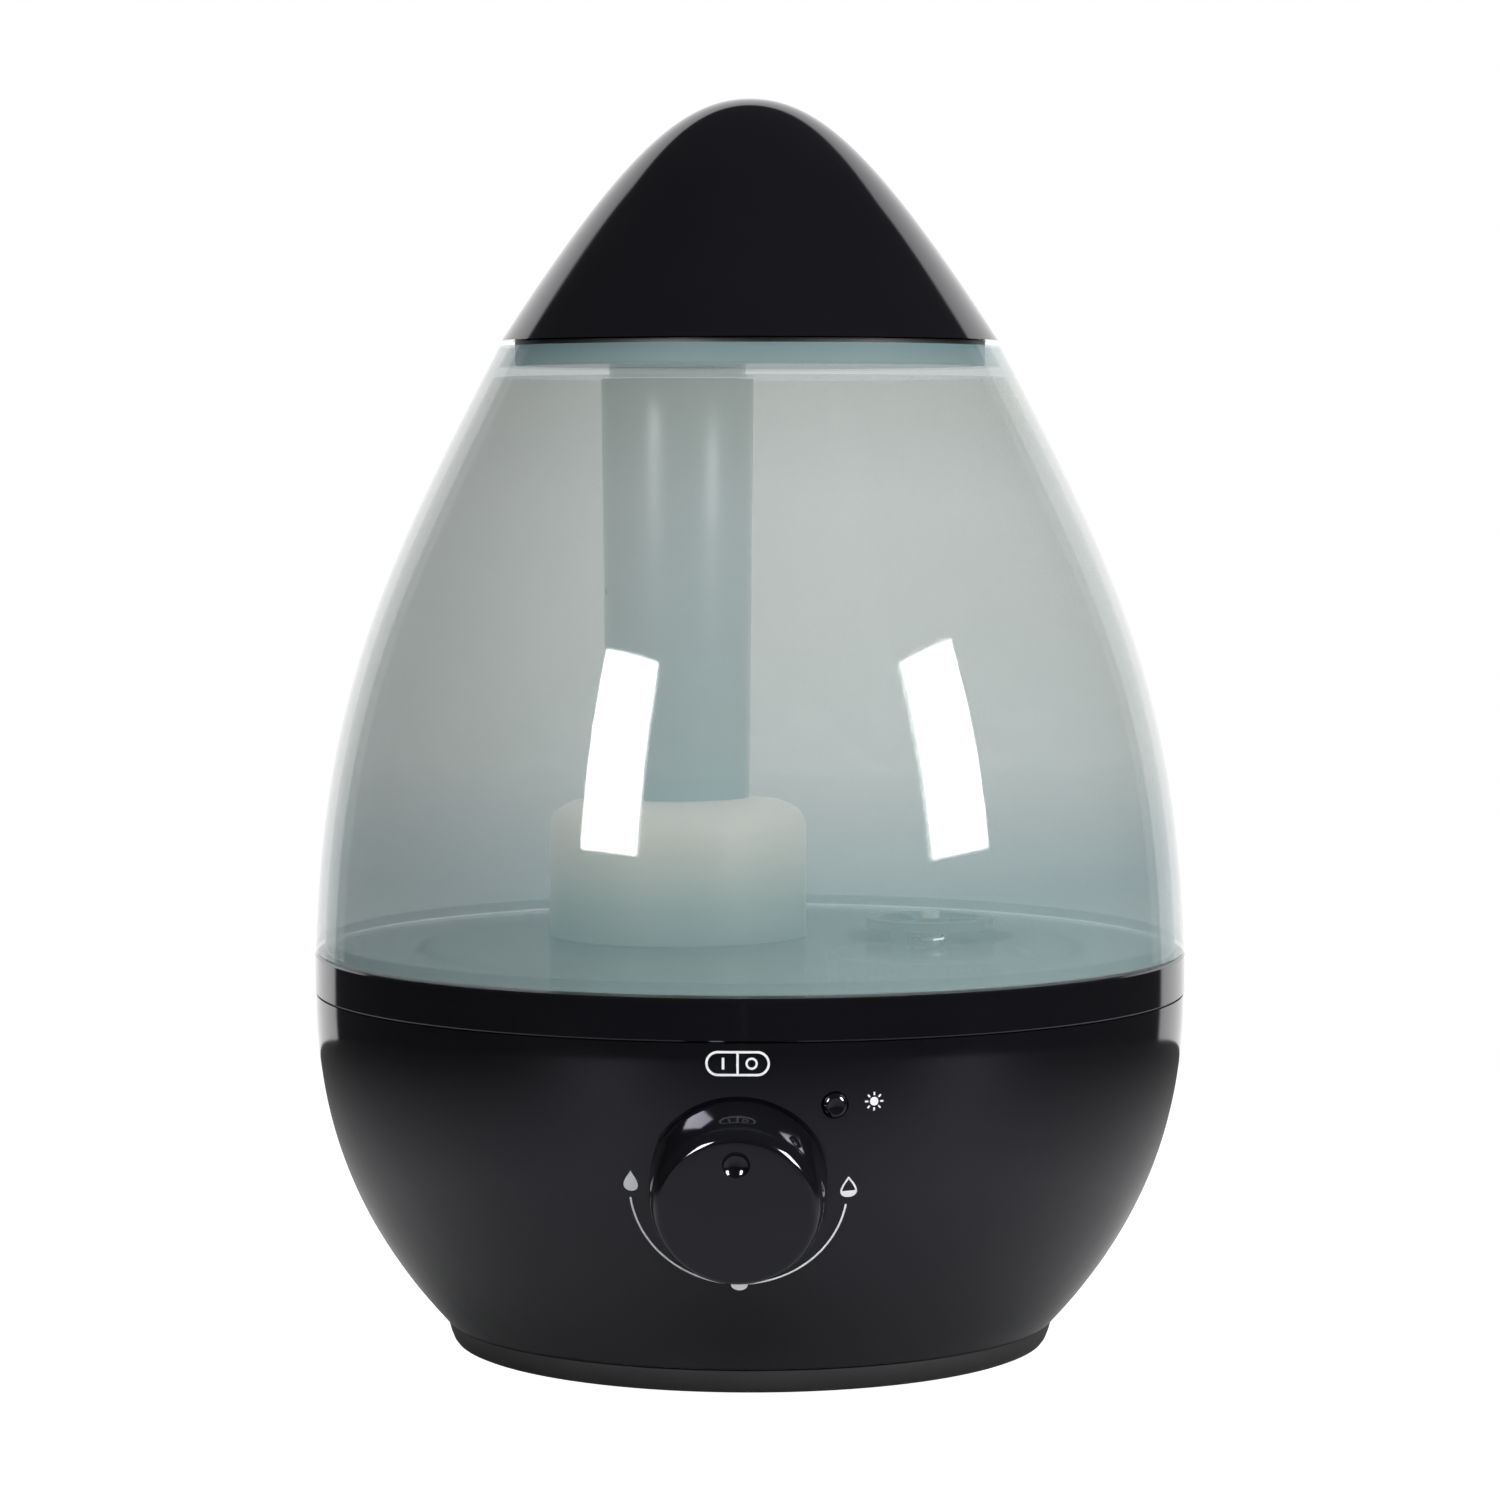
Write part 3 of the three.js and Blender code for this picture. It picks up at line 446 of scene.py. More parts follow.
def setFloor():
    clearSelection()
    bpy.ops.mesh.primitive_circle_add(vertices=floorDisc["sides"], radius=floorDisc["radius"],
                                      fill_type="NGON")
    floor = bpy.context.object
    floor.name = "floor"
    material = bpy.data.materials.new("paleFloor")
    material.use_nodes = True
    nodes, links = material.node_tree.nodes, material.node_tree.links
    shader = nodes["Principled BSDF"]
    place = nodes.new("ShaderNodeTexCoord")
    # a painted pool of light: the floor's colour is paler close to the piece
    reach = nodes.new("ShaderNodeMapping")         # paler close to the piece, as under a studio lamp
    reach.inputs["Scale"].default_value = [1 / floorDisc["radius"]] * 3
    links.new(place.outputs["Object"], reach.inputs["Vector"])
    pool = nodes.new("ShaderNodeTexGradient")
    pool.gradient_type = "QUADRATIC_SPHERE"
    links.new(reach.outputs["Vector"], pool.inputs["Vector"])
    tone = nodes.new("ShaderNodeMapRange")
    tone.inputs["From Max"].default_value = floorDisc["fade"]
    tone.inputs["To Min"].default_value = floorDisc["far"]
    tone.inputs["To Max"].default_value = floorDisc["near"]
    links.new(pool.outputs["Fac"], tone.inputs["Value"])
    links.new(tone.outputs["Result"], shader.inputs["Base Color"])
    shader.inputs["Roughness"].default_value = floorDisc["roughness"]
    shader.inputs["Specular IOR Level"].default_value = floorDisc["shine"]
    shader.inputs["Emission Color"].default_value = (1, 1, 1, 1)
    ray = nodes.new("ShaderNodeLightPath")
    glow = nodes.new("ShaderNodeMapRange")
    glow.inputs["To Min"].default_value = floorDisc["shed"]
    glow.inputs["To Max"].default_value = floorDisc["seen"]
    links.new(ray.outputs["Is Camera Ray"], glow.inputs["Value"])
    links.new(glow.outputs["Result"], shader.inputs["Emission Strength"])
    floor.data.materials.append(material)


setCamera()
setLights()
setWorld()
setFloor()
bpy.context.scene.view_settings.view_transform = "Standard"
print("camera, light and floor set")

bowlCurve = curvePoints(outlines["bowl"])
tankCurve = curvePoints(outlines["tank"])
capCurve = curvePoints(outlines["cap"])


def frameAlong(origin, outward):       # local +Z points out of the bowl, local +Y points up
    out = Vector(outward).normalized()
    side = Vector((0, 0, 1)).cross(out).normalized()
    up = out.cross(side)
    turn = Matrix((side, up, out)).transposed().to_4x4()
    return Matrix.Translation(origin) @ turn


knobFrame = frameAlong(jointNamed["knob_turn"]["pos_m"], -Vector(jointNamed["knob_turn"]["axis"]))
pressAxis = Vector(jointNamed["light_press"]["axis"])
buttonLook = {
    "height": 74, "turn": 11.9, "hole": 3.2,
    "outline": [(0, -4.4), (4.2, -4.4), (4.2, -3.2), (2.8, -3.2), (2.8, 0.5), (2.7, 0.9), (2.4, 1.25),
                (1.9, 1.45), (1.2, 1.2), (0.6, 1.05), (0, 1.0)]}
glandLook = {
    "height": 30, "tilt": 27.7, "hole": 5.2,
    "outline": [(3.2, -6), (4.8, -6), (4.8, 0.5), (7, 0.5), (7, 1.3), (6.7, 1.8), (5.6, 3.2), (5.2, 3.4),
                (3.5, 3.4), (3.2, 3.1)]}


def onBowl(height, turn=0):            # a point on the bowl, turned round from the front
    radius = radiusAt(bowlCurve, height) * mm
    angle = math.radians(turn)
    return Vector((bodyAxis.x + radius * math.sin(angle), bodyAxis.y - radius * math.cos(angle), height * mm))


buttonFrame = frameAlong(onBowl(buttonLook["height"], buttonLook["turn"]), -pressAxis)
glandTilt = math.radians(glandLook["tilt"])
glandFrame = frameAlong(onBowl(glandLook["height"], 180), (0, math.cos(glandTilt), -math.sin(glandTilt)))


bowlLook = {"wall": 2.6, "flangeInner": 69, "flangeTop": 9.6, "seatRadius": 21.4, "seatDepth": 2.3,
            "bossRadius": 20.5, "bossDepth": 5.5, "shaftHole": 4.1, "flangeLap": 0.4, "seatReach": 14,
            "shaftReach": 10, "holeReach": 6}


def makeBowl():
    look = bowlLook
    inner = [p for p in insideWall(bowlCurve, look["wall"]) if p[1] > look["flangeTop"]]
    inner[-1] = (bowlCurve[-1][0] - look["wall"], bowlCurve[-1][1])
    flange = [(inner[0][0] - look["flangeLap"], look["flangeTop"]), (look["flangeInner"], look["flangeTop"]),
              (look["flangeInner"], bowlCurve[0][1])]
    bowl = spinPiece("bowlShell", bowlCurve + inner[::-1] + flange, bodyAxis.xy)
    boss = rodPiece("boss", look["bossRadius"], -look["bossDepth"], -look["seatDepth"])
    seat = rodPiece("seat", look["seatRadius"], -look["seatDepth"], look["seatReach"])
    shaft = rodPiece("shaftHole", look["shaftHole"], -look["shaftReach"], look["shaftReach"])
    buttonHole = rodPiece("buttonHole", buttonLook["hole"], -look["holeReach"], look["holeReach"])
    glandHole = rodPiece("glandHole", glandLook["hole"], -look["holeReach"], look["holeReach"])
    combine(bowl, [moveBy(boss, knobFrame)], "UNION")
    combine(bowl, [moveBy(seat, knobFrame), moveBy(shaft, knobFrame), moveBy(buttonHole, buttonFrame),
                   moveBy(glandHole, glandFrame)], "DIFFERENCE")
    smoothShade(bowl, 25)
    return settle(bowl, blackGloss, "root", "black_gloss", "bowl_shell")


basinLook = {"inner": 84, "outer": 86.4, "under": 66, "floor": 68.4, "underEdge": 1.5, "cove": 4,
             "coveMid": 1.2, "rimOuter": 108.2, "rimInner": 105.8, "rimBottom": 88.7, "rimLand": 96,
             "rimTop": 98.6, "rimEdge": (0.2, 0.3), "rimRound": 0.5, "lipRound": 0.6, "sunk": 0.6,
             "transducerHole": 12, "lampHole": 3, "holeBottom": 60, "holeTop": 70}
# Each post's radius, then the end of it that isn't sunk in the basin's floor.
basinPosts = {"valve": (4, 80), "float": (2.5, 86), "clampBoss": (3.2, 63), "clampBore": (1.3, 65.6)}
chimneyLook = {"foot": 12.6, "flare": (11.6, 1.4), "radius": 11, "flareTop": 3, "edge": (10.4, 91.2),
               "top": 92, "flue": 9.2, "flueTop": 95}
postLook = {"radius": 4, "bore": 1.7, "boreTop": 20, "bottom": 7.1, "circle": 63, "angle": 30}


def postSpots():
    angle = math.radians(postLook["angle"])
    reach = Vector((postLook["circle"] * math.cos(angle), postLook["circle"] * math.sin(angle))) * mm
    return [bodyAxis.xy + Vector((sx * reach.x, sy * reach.y)) for sx in (1, -1) for sy in (1, -1)]


def makeChimney():                     # the air comes up through it from the fan
    look = chimneyLook
    foot = basinLook["floor"] - basinLook["sunk"]
    flare, flareRise = look["flare"]
    edge, edgeBottom = look["edge"]
    return spinPiece("chimney", [(0, foot), (look["foot"], foot), (flare, basinLook["floor"] + flareRise),
                                 (look["radius"], basinLook["floor"] + look["flareTop"]),
                                 (look["radius"], edgeBottom), (edge, look["top"]), (0, look["top"])],
                     fanAxis.xy, smallSteps)


def makeBasin():
    look = basinLook
    under, floor, edge = look["under"], look["floor"], look["underEdge"]
    outer, rimTop, rimRound, lipRound = look["rimOuter"], look["rimTop"], look["rimRound"], look["lipRound"]
    rimIn, rimUp = look["rimEdge"]
    cove, coveMid = look["cove"], look["coveMid"]
    profile = [(0, under), (look["outer"] - edge, under), (look["outer"], under + edge),
               (look["outer"], look["rimLand"]), (look["rimInner"], look["rimLand"]),
               (look["rimInner"], look["rimBottom"]), (outer - rimIn, look["rimBottom"]),
               (outer, look["rimBottom"] + rimUp), (outer, rimTop - rimRound), (outer - rimRound, rimTop),
               (look["inner"] + lipRound, rimTop), (look["inner"], rimTop - lipRound),
               (look["inner"], floor + cove), (look["inner"] - coveMid, floor + coveMid),
               (look["inner"] - cove, floor), (0, floor)]
    basin = spinPiece("basinTray", profile, bodyAxis.xy)
    screwSpots = [middleOf(node).xy for node in ("clamp_screw_1", "clamp_screw_2")]
    valveRadius, valveTop = basinPosts["valve"]
    floatRadius, floatTop = basinPosts["float"]
    bossRadius, bossBottom = basinPosts["clampBoss"]
    boreRadius, boreTop = basinPosts["clampBore"]
    low, high = look["holeBottom"], look["holeTop"]
    adds = [rodPiece("post", postLook["radius"], postLook["bottom"], under + look["sunk"], spot)
            for spot in postSpots()]
    adds += [rodPiece("valvePost", valveRadius, floor - look["sunk"], valveTop, fillAxis.xy),
             rodPiece("floatPost", floatRadius, floor - look["sunk"], floatTop, middleOf("float_ring").xy),
             makeChimney()]
    adds += [rodPiece("clampBoss", bossRadius, bossBottom, under + look["sunk"], spot) for spot in screwSpots]
    cuts = [rodPiece("screwBore", postLook["bore"], 0, postLook["boreTop"], spot) for spot in postSpots()]
    cuts += [rodPiece("bore", boreRadius, low, boreTop, spot) for spot in screwSpots]
    cuts += [rodPiece("transducerHole", look["transducerHole"], low, high, ductAxis.xy),
             rodPiece("flue", chimneyLook["flue"], low, chimneyLook["flueTop"], fanAxis.xy),
             rodPiece("lampHole", look["lampHole"], low, high, middleOf("night_light_lens").xy)]
    combine(basin, adds, "UNION")
    combine(basin, cuts, "DIFFERENCE")
    smoothShade(basin)
    settle(basin, blackGloss, "root", "black_gloss", "basin_tray")


coverLook = {"radius": 75.6, "under": 4.3, "top": 6.8, "ringOuter": 73.8, "ringInner": 71.4, "ringBottom": 1,
             "fillet": (0.6, 0.5), "ringFlank": [(-0.9, 0), (-0.2, 0.3), (0.4, 1.1)], "shoulder": (1.2, 0.2),
             "rim": [(-0.1, -0.9), (0, -0.2), (-0.3, 0)], "screwHole": 1.7, "cutTop": 10}
pegLook = {"across": 31, "ahead": (20, 48), "radius": 2.8, "sunk": 0.3, "pin": 1.2, "pinBelow": 1,
           "pinAbove": 1.4, "steps": 32}
intakeLook = {"radius": 23, "pitch": 5, "slot": 2.8, "perSide": 4}


def makePegs():                        # the circuit board stands on these, and their pins go through it
    look = pegLook
    foot = coverLook["top"] - look["sunk"]
    low, high = [corner.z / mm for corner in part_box("driver_board")]
    pegs = []
    for side in (1, -1):
        for ahead in look["ahead"]:
            spot = (side * look["across"] * mm, bodyAxis.y - ahead * mm)
            pegs.append(rodPiece("peg", look["radius"], foot, low - look["sunk"], spot, look["steps"]))
            pegs.append(rodPiece("pin", look["pin"], low - look["pinBelow"], high + look["pinAbove"], spot,
                                 look["steps"]))
    return pegs


def makeIntakeSlots():                 # parallel slots that fill a circle under the fan
    look = intakeLook
    centreX, centreY = fanAxis.xy / mm
    slots = []
    for i in range(-look["perSide"], look["perSide"] + 1):
        x = centreX + look["pitch"] * i
        half = math.sqrt(look["radius"] ** 2 - (look["pitch"] * i) ** 2)
        slots.append(boxPiece("slot", (x - look["slot"] / 2, centreY - half, 0),
                              (x + look["slot"] / 2, centreY + half, coverLook["cutTop"])))
    return slots


def makeCover():
    look = coverLook
    under, ringInner, ringOuter = look["under"], look["ringInner"], look["ringOuter"]
    filletIn, filletDown = look["fillet"]
    shoulderOut, shoulderDown = look["shoulder"]
    profile = [(0, under), (ringInner + filletIn, under), (ringInner, under - filletDown),
               (ringInner, look["ringBottom"])]
    profile += [(ringOuter + out, look["ringBottom"] + up) for out, up in look["ringFlank"]]
    profile += [(ringOuter + shoulderOut, under - shoulderDown)]
    profile += [(look["radius"] + out, look["top"] + up) for out, up in look["rim"]] + [(0, look["top"])]
    cover = spinPiece("bottomCover", profile, bodyAxis.xy)
    holes = [rodPiece("screwHole", look["screwHole"], 0, look["cutTop"], spot, pegLook["steps"])
             for spot in postSpots()]
    combine(cover, makePegs(), "UNION")
    combine(cover, makeIntakeSlots() + holes, "DIFFERENCE")
    smoothShade(cover)
    settle(cover, blackMatt, "root", "black_matt", "bottom_cover")


footLook = {"radius": 6, "height": 4, "sole": 0.25, "padRing": (2.6, 2.2, 0.9, 0.3), "side": 0.9, "count": 4}


def makeFeet():
    radius, height, sole = footLook["radius"], footLook["height"], footLook["sole"]
    hollow, padInner, padOuter, shoulder = [radius - step for step in footLook["padRing"]]
    first = spinPiece("foot", [(0, sole), (hollow, sole), (padInner, 0), (padOuter, 0), (shoulder, sole),
                               (radius, footLook["side"]), (radius, height), (0, height)], steps=48)
    smoothShade(first)
    for i in range(1, footLook["count"] + 1):
        foot = copyTo(first, f"rubberFoot{i}", middleOf(f"rubber_foot_{i}"))
        settle(foot, rubber, "root", "rubber", f"rubber_foot_{i}")
    bpy.data.objects.remove(first)


screwLook = {"headRadius": 3, "headBottom": 2.4, "headTop": 4, "headRound": [(0.9, 0), (0.3, 0.3), (0, 0.9)],
             "shaft": 1.4, "shaftTop": 18, "tip": (0.7, 1), "crossWidth": 0.8, "crossReach": 1.7,
             "crossBottom": 1, "crossDepth": 1, "count": 4}


def makeCoverScrews():
    look = screwLook
    bottom, shaft, shaftTop = look["headBottom"], look["shaft"], look["shaftTop"]
    tipIn, tipDown = look["tip"]
    head = [(look["headRadius"] - inwards, bottom + up) for inwards, up in look["headRound"]]
    first = spinPiece("screw", [(0, bottom)] + head + [(look["headRadius"], look["headTop"]),
                      (shaft, look["headTop"]), (shaft, shaftTop - tipDown), (shaft - tipIn, shaftTop),
                      (0, shaftTop)], steps=32)
    long, half = look["crossReach"], look["crossWidth"] / 2
    low, deep = look["crossBottom"], bottom + look["crossDepth"]
    combine(first, [boxPiece("slotA", (-long, -half, low), (long, half, deep)),
                    boxPiece("slotB", (-half, -long, low), (half, long, deep))], "DIFFERENCE")
    smoothShade(first)
    for i in range(1, look["count"] + 1):
        screw = copyTo(first, f"coverScrew{i}", middleOf(f"cover_screw_{i}"))
        settle(screw, steel, "root", "steel", f"cover_screw_{i}")
    bpy.data.objects.remove(first)


knobLook = {"flank": [(20.4, -1.8), (20.3, 6.5), (19.9, 12.6), (17.4, 13.9)], "flankSteps": 20,
            "face": [(16.6, 14), (12, 14.02), (0, 14.02)],
            "inside": [(0, 11.4), (16.4, 11.4), (17.3, 10), (18.3, -1.8)],
            "hub": (5.5, 2, 12), "bore": (2.9, 1, 11)}         # radius, bottom, top
dentLook = {"up": 11.7, "out": 16.4, "radius": 4}


def makeKnob():
    flank = curvePoints(knobLook["flank"], knobLook["flankSteps"])
    knob = spinPiece("knob", knobLook["inside"] + flank + knobLook["face"])
    hub = rodPiece("hub", *knobLook["hub"])
    bore = rodPiece("bore", *knobLook["bore"])
    clearSelection()
    bpy.ops.mesh.primitive_uv_sphere_add(segments=64, ring_count=32, radius=dentLook["radius"] * mm,
                                         location=(0, dentLook["up"] * mm, dentLook["out"] * mm))
    dent = bpy.context.object
    bpy.ops.object.transform_apply(location=True, rotation=True, scale=True)
    combine(knob, [hub], "UNION")
    combine(knob, [bore, dent], "DIFFERENCE")
    moveBy(knob, knobFrame)
    smoothShade(knob)
    settle(knob, blackGloss, "knob", "black_gloss", "knob")


def makeButton():
    button = spinPiece("lightButton", buttonLook["outline"], steps=smallSteps)
    moveBy(button, buttonFrame)
    smoothShade(button, 40)
    settle(button, blackGloss, "light_button", "black_gloss", "light_button")


def makeGland():
    gland = spinPiece("cordGland", glandLook["outline"], steps=smallSteps)
    moveBy(gland, glandFrame)
    smoothShade(gland, 35)
    settle(gland, rubber, "root", "rubber", "cord_gland")


printLook = {"stand": 25, "lift": 0.13, "thickness": 0.06, "stroke": 0.55}


def flatShape(name, points):           # a flat face through [x, y] points in mm
    spots = [Vector((x * mm, y * mm, printLook["stand"] * mm)) for x, y in points]
    piece = startPoint(name, spots[0])
    for here, there in zip(spots, spots[1:]):
        bpy.ops.mesh.extrude_region_move(TRANSFORM_OT_translate={"value": there - here})
    bpy.ops.mesh.select_all(action="SELECT")
    bpy.ops.mesh.edge_face_add()
    bpy.ops.object.mode_set(mode="OBJECT")
    return piece


def filledShape(name, points):         # a flat face that can follow a curved surface
    piece = flatShape(name, points)
    pick(piece)
    bpy.ops.object.mode_set(mode="EDIT")
    bpy.ops.mesh.select_all(action="SELECT")
    bpy.ops.mesh.poke()
    bpy.ops.object.mode_set(mode="OBJECT")
    return piece


def keepOutline(piece, stroke):               # leaves only a band along the edge
    pick(piece)
    bpy.ops.object.mode_set(mode="EDIT")
    bpy.ops.mesh.select_all(action="SELECT")
    bpy.ops.mesh.inset(thickness=stroke * mm, depth=0)
    bpy.ops.mesh.delete(type="FACE")
    bpy.ops.object.mode_set(mode="OBJECT")
    return piece


def arcBand(name, radius, stroke, start, end, steps=96):
    low, high = [Vector((math.cos(math.radians(start)), math.sin(math.radians(start)), 0)) * r * mm
                 for r in (radius - stroke / 2, radius + stroke / 2)]
    lift = Vector((0, 0, printLook["stand"] * mm))
    piece = startPoint(name, low + lift)
    bpy.ops.mesh.extrude_region_move(TRANSFORM_OT_translate={"value": high - low})
    bpy.ops.mesh.select_all(action="SELECT")
    bpy.ops.mesh.spin(steps=steps, angle=math.radians(end - start), center=lift, axis=(0, 0, -1))
    bpy.ops.mesh.select_all(action="SELECT")
    bpy.ops.mesh.remove_doubles(threshold=1e-6)
    bpy.ops.object.mode_set(mode="OBJECT")
    return piece


def barPoints(x, y, width, height):    # a rectangle round (x, y)
    return [(x - width / 2, y - height / 2), (x + width / 2, y - height / 2),
            (x + width / 2, y + height / 2), (x - width / 2, y + height / 2)]


def pillPoints(width, height, steps=24, sideSteps=8):
    radius, reach = height / 2, width / 2 - height / 2
    points = []
    for side in (1, -1):
        for i in range(steps + 1):
            angle = math.radians(-90 * side + 180 * i / steps)
            points.append((side * reach + radius * math.cos(angle), radius * math.sin(angle)))
        for i in range(1, sideSteps):
            points.append((side * reach * (1 - 2 * i / sideSteps), side * radius))
    return points


# The sharp end is at the top, and tip is how many points are left out on each side of it.
def dropPoints(x, y, width, height, tip=0, steps=40, taper=1.5, widest=0.7):
    points = []
    for i in range(tip, min(steps, steps - tip + 1)):
        t = math.tau * i / steps
        points.append((x - width / 2 * math.sin(t) * abs(math.sin(t / 2)) ** taper / widest,
                       y + height / 2 * math.cos(t)))
    return points


def layOnBowl(name, shapes, place, bowl):     # joins flat shapes and wraps them onto the bowl
    clearSelection()
    for shape in shapes:
        shape.select_set(True)
    bpy.context.view_layer.objects.active = shapes[0]
    if len(shapes) > 1:
        bpy.ops.object.join()
    piece = bpy.context.object
    piece.name = name
    pick(piece)
    bpy.ops.object.mode_set(mode="EDIT")
    bpy.ops.mesh.select_all(action="SELECT")
    bpy.ops.mesh.normals_make_consistent(inside=False)
    bpy.ops.object.mode_set(mode="OBJECT")
    piece.matrix_world = place
    bpy.context.view_layer.update()
    wrap = piece.modifiers.new("wrap", "SHRINKWRAP")
    wrap.wrap_method = "PROJECT"
    wrap.wrap_mode = "ABOVE_SURFACE"
    wrap.use_project_z = True
    wrap.use_negative_direction = True
    wrap.use_positive_direction = False
    wrap.target = bowl
    wrap.offset = printLook["lift"] * mm
    applyModifier(piece, wrap)
    thick = piece.modifiers.new("ink", "SOLIDIFY")
    thick.thickness = printLook["thickness"] * mm
    thick.offset = 0
    applyModifier(piece, thick)
    pick(piece)
    bpy.ops.object.transform_apply(location=True, rotation=True, scale=True)
    settle(piece, printWhite, "root", "seal")


def ringPoints(x, y, radius, steps=40):
    return [(x + radius * math.cos(math.tau * i / steps), y + radius * math.sin(math.tau * i / steps))
            for i in range(steps)]


dialLook = {"radius": 25, "drop": 1, "start": 187.2, "end": 349.3, "stroke": 0.45,
            "discDrop": 26.2, "discReach": 1.95, "discHeight": 1.7, "discStep": 15}
dropLook = {"full": (-24.7, 0.1), "fullSize": (3.3, 5.1), "low": (25.2, -1.2), "lowSize": (3.8, 5.4),
            "stroke": 0.42, "poolSize": (3.3, 4.9), "poolLine": -2.3, "tip": 3}
pillLook = {"height": 83.8, "size": (14.7, 5.8), "divider": 4.9, "bar": (-3.3, 0.6, 2.7),
            "ring": (3.2, 1.4, 0.5)}
sunLook = {"height": 74.6, "turn": 16.8, "disc": 1, "discSteps": 32, "rays": 8, "rayReach": 1.8,
           "raySize": (0.4, 0.75)}


def makePrints(bowl):
    stroke = printLook["stroke"]
    halfDisc = [(dialLook["discReach"] * math.cos(math.radians(a)),
                 dialLook["discHeight"] * math.sin(math.radians(a)) - dialLook["discDrop"])
                for a in range(180, 361, dialLook["discStep"])]
    arc = arcBand("dial", dialLook["radius"], dialLook["stroke"], dialLook["start"], dialLook["end"])
    moveBy(arc, Matrix.Translation((0, -dialLook["drop"] * mm, 0)))
    layOnBowl("dialPrint", [arc, filledShape("halfDisc", halfDisc)], knobFrame, bowl)
    look = dropLook
    full = filledShape("drop", dropPoints(*look["full"], *look["fullSize"]))
    layOnBowl("fullDropPrint", [full], knobFrame, bowl)
    low = flatShape("dropOutline", dropPoints(*look["low"], *look["lowSize"], look["tip"]))
    pool = [(x, y) for x, y in dropPoints(*look["low"], *look["poolSize"]) if y < look["poolLine"]]
    layOnBowl("lowDropPrint", [keepOutline(low, look["stroke"]), filledShape("pool", pool)], knobFrame, bowl)

    barX, barWidth, barHeight = pillLook["bar"]
    ringX, ringRadius, ringStroke = pillLook["ring"]
    pill = [keepOutline(flatShape("pill", pillPoints(*pillLook["size"])), stroke),
            filledShape("divider", barPoints(0, 0, stroke, pillLook["divider"])),
            filledShape("onBar", barPoints(barX, 0, barWidth, barHeight)),
            keepOutline(flatShape("offRing", ringPoints(ringX, 0, ringRadius)), ringStroke)]
    layOnBowl("switchPrint", pill, frameAlong(onBowl(pillLook["height"]), (0, -1, 0)), bowl)

    turn = math.radians(sunLook["turn"])
    beside = frameAlong(onBowl(sunLook["height"], sunLook["turn"]), (math.sin(turn), -math.cos(turn), 0))
    sun = [filledShape("sun", ringPoints(0, 0, sunLook["disc"], sunLook["discSteps"]))]
    for i in range(sunLook["rays"]):
        ray = filledShape("ray", barPoints(0, sunLook["rayReach"], *sunLook["raySize"]))
        sun.append(moveBy(ray, Matrix.Rotation(math.tau * i / sunLook["rays"], 4, "Z")))
    layOnBowl("lampPrint", sun, beside, bowl)


bowl = makeBowl()
makePrints(bowl)
makeBasin()
makeCover()
makeFeet()
makeCoverScrews()
makeKnob()
makeButton()
makeGland()
print("base and controls made")


tankLook = {"wall": 2.2, "mouthWall": 2.64, "deckBottom": 240.6, "deckTop": 243.1, "deckLap": 1.32,
            "deckTaper": 1.2, "deckHole": 17, "holeBottom": 238, "holeTop": 246}


def makeTank():
    look = tankLook
    inner = insideWall(tankCurve, look["wall"])
    inner[0] = (tankCurve[0][0] - look["wall"], tankCurve[0][1])
    inner[-1] = (tankCurve[-1][0] - look["mouthWall"], tankCurve[-1][1])
    tank = spinPiece("tankShell", tankCurve + inner[::-1], bodyAxis.xy, tankSteps)
    edge = radiusAt(tankCurve, look["deckBottom"]) - look["deckLap"]
    deckOutline = [(0, look["deckBottom"]), (edge, look["deckBottom"]),
                   (edge - look["deckTaper"], look["deckTop"]), (0, look["deckTop"])]
    deck = spinPiece("deck", deckOutline, bodyAxis.xy, tankSteps)
    hole = rodPiece("deckHole", look["deckHole"], look["holeBottom"], look["holeTop"], ductAxis.xy)
    combine(tank, [deck], "UNION")
    combine(tank, [hole], "DIFFERENCE")
    smoothShade(tank)
    settle(tank, tankTeal, "tank", "tank_tint", "tank_shell")


floorLook = {"radius": 105.5, "bottom": 99.3, "top": 101.8, "lap": 0.4, "holeBottom": 80, "holeTop": 110}
# Inner radius, outer radius and bottom of each ring under the tank's floor.
ringLook = {"skirt": (80.5, 83, 88), "neck": (21.2, 23.4, 90.5), "guard": (29.6, 31.4, 84)}
notchLook = {"low": (25, -5, 80), "high": (40, 5, 88.5), "turn": 45, "count": 4}


def ringPiece(name, sizes, top, axis):
    inner, outer, bottom = sizes
    outline = [(inner, bottom), (outer, bottom), (outer, top), (inner, top)]
    return spinPiece(name, outline, axis, smallSteps * 2)


def makeTankFloor():
    look = floorLook
    joint = look["bottom"] + look["lap"]
    plate = rodPiece("tankFloor", look["radius"], look["bottom"], look["top"], bodyAxis.xy, roundSteps)
    holes = [rodPiece("neckHole", ringLook["neck"][0], look["holeBottom"], look["holeTop"], fillAxis.xy),
             rodPiece("guardHole", ringLook["guard"][0], look["holeBottom"], look["holeTop"], ductAxis.xy)]
    combine(plate, [ringPiece("skirt", ringLook["skirt"], joint, bodyAxis.xy),
                    ringPiece("neck", ringLook["neck"], joint, fillAxis.xy),
                    ringPiece("guard", ringLook["guard"], joint, ductAxis.xy)], "UNION")
    combine(plate, holes, "DIFFERENCE")
    for i in range(notchLook["count"]):
        notch = boxPiece("notch", notchLook["low"], notchLook["high"])
        turn = Matrix.Rotation(math.radians(notchLook["turn"]) + math.tau * i / notchLook["count"], 4, "Z")
        moveBy(notch, Matrix.Translation((ductAxis.x, ductAxis.y, 0)) @ turn)
        combine(plate, [notch], "DIFFERENCE")
    smoothShade(plate)
    settle(plate, tankTeal, "tank", "tank_tint", "tank_floor")


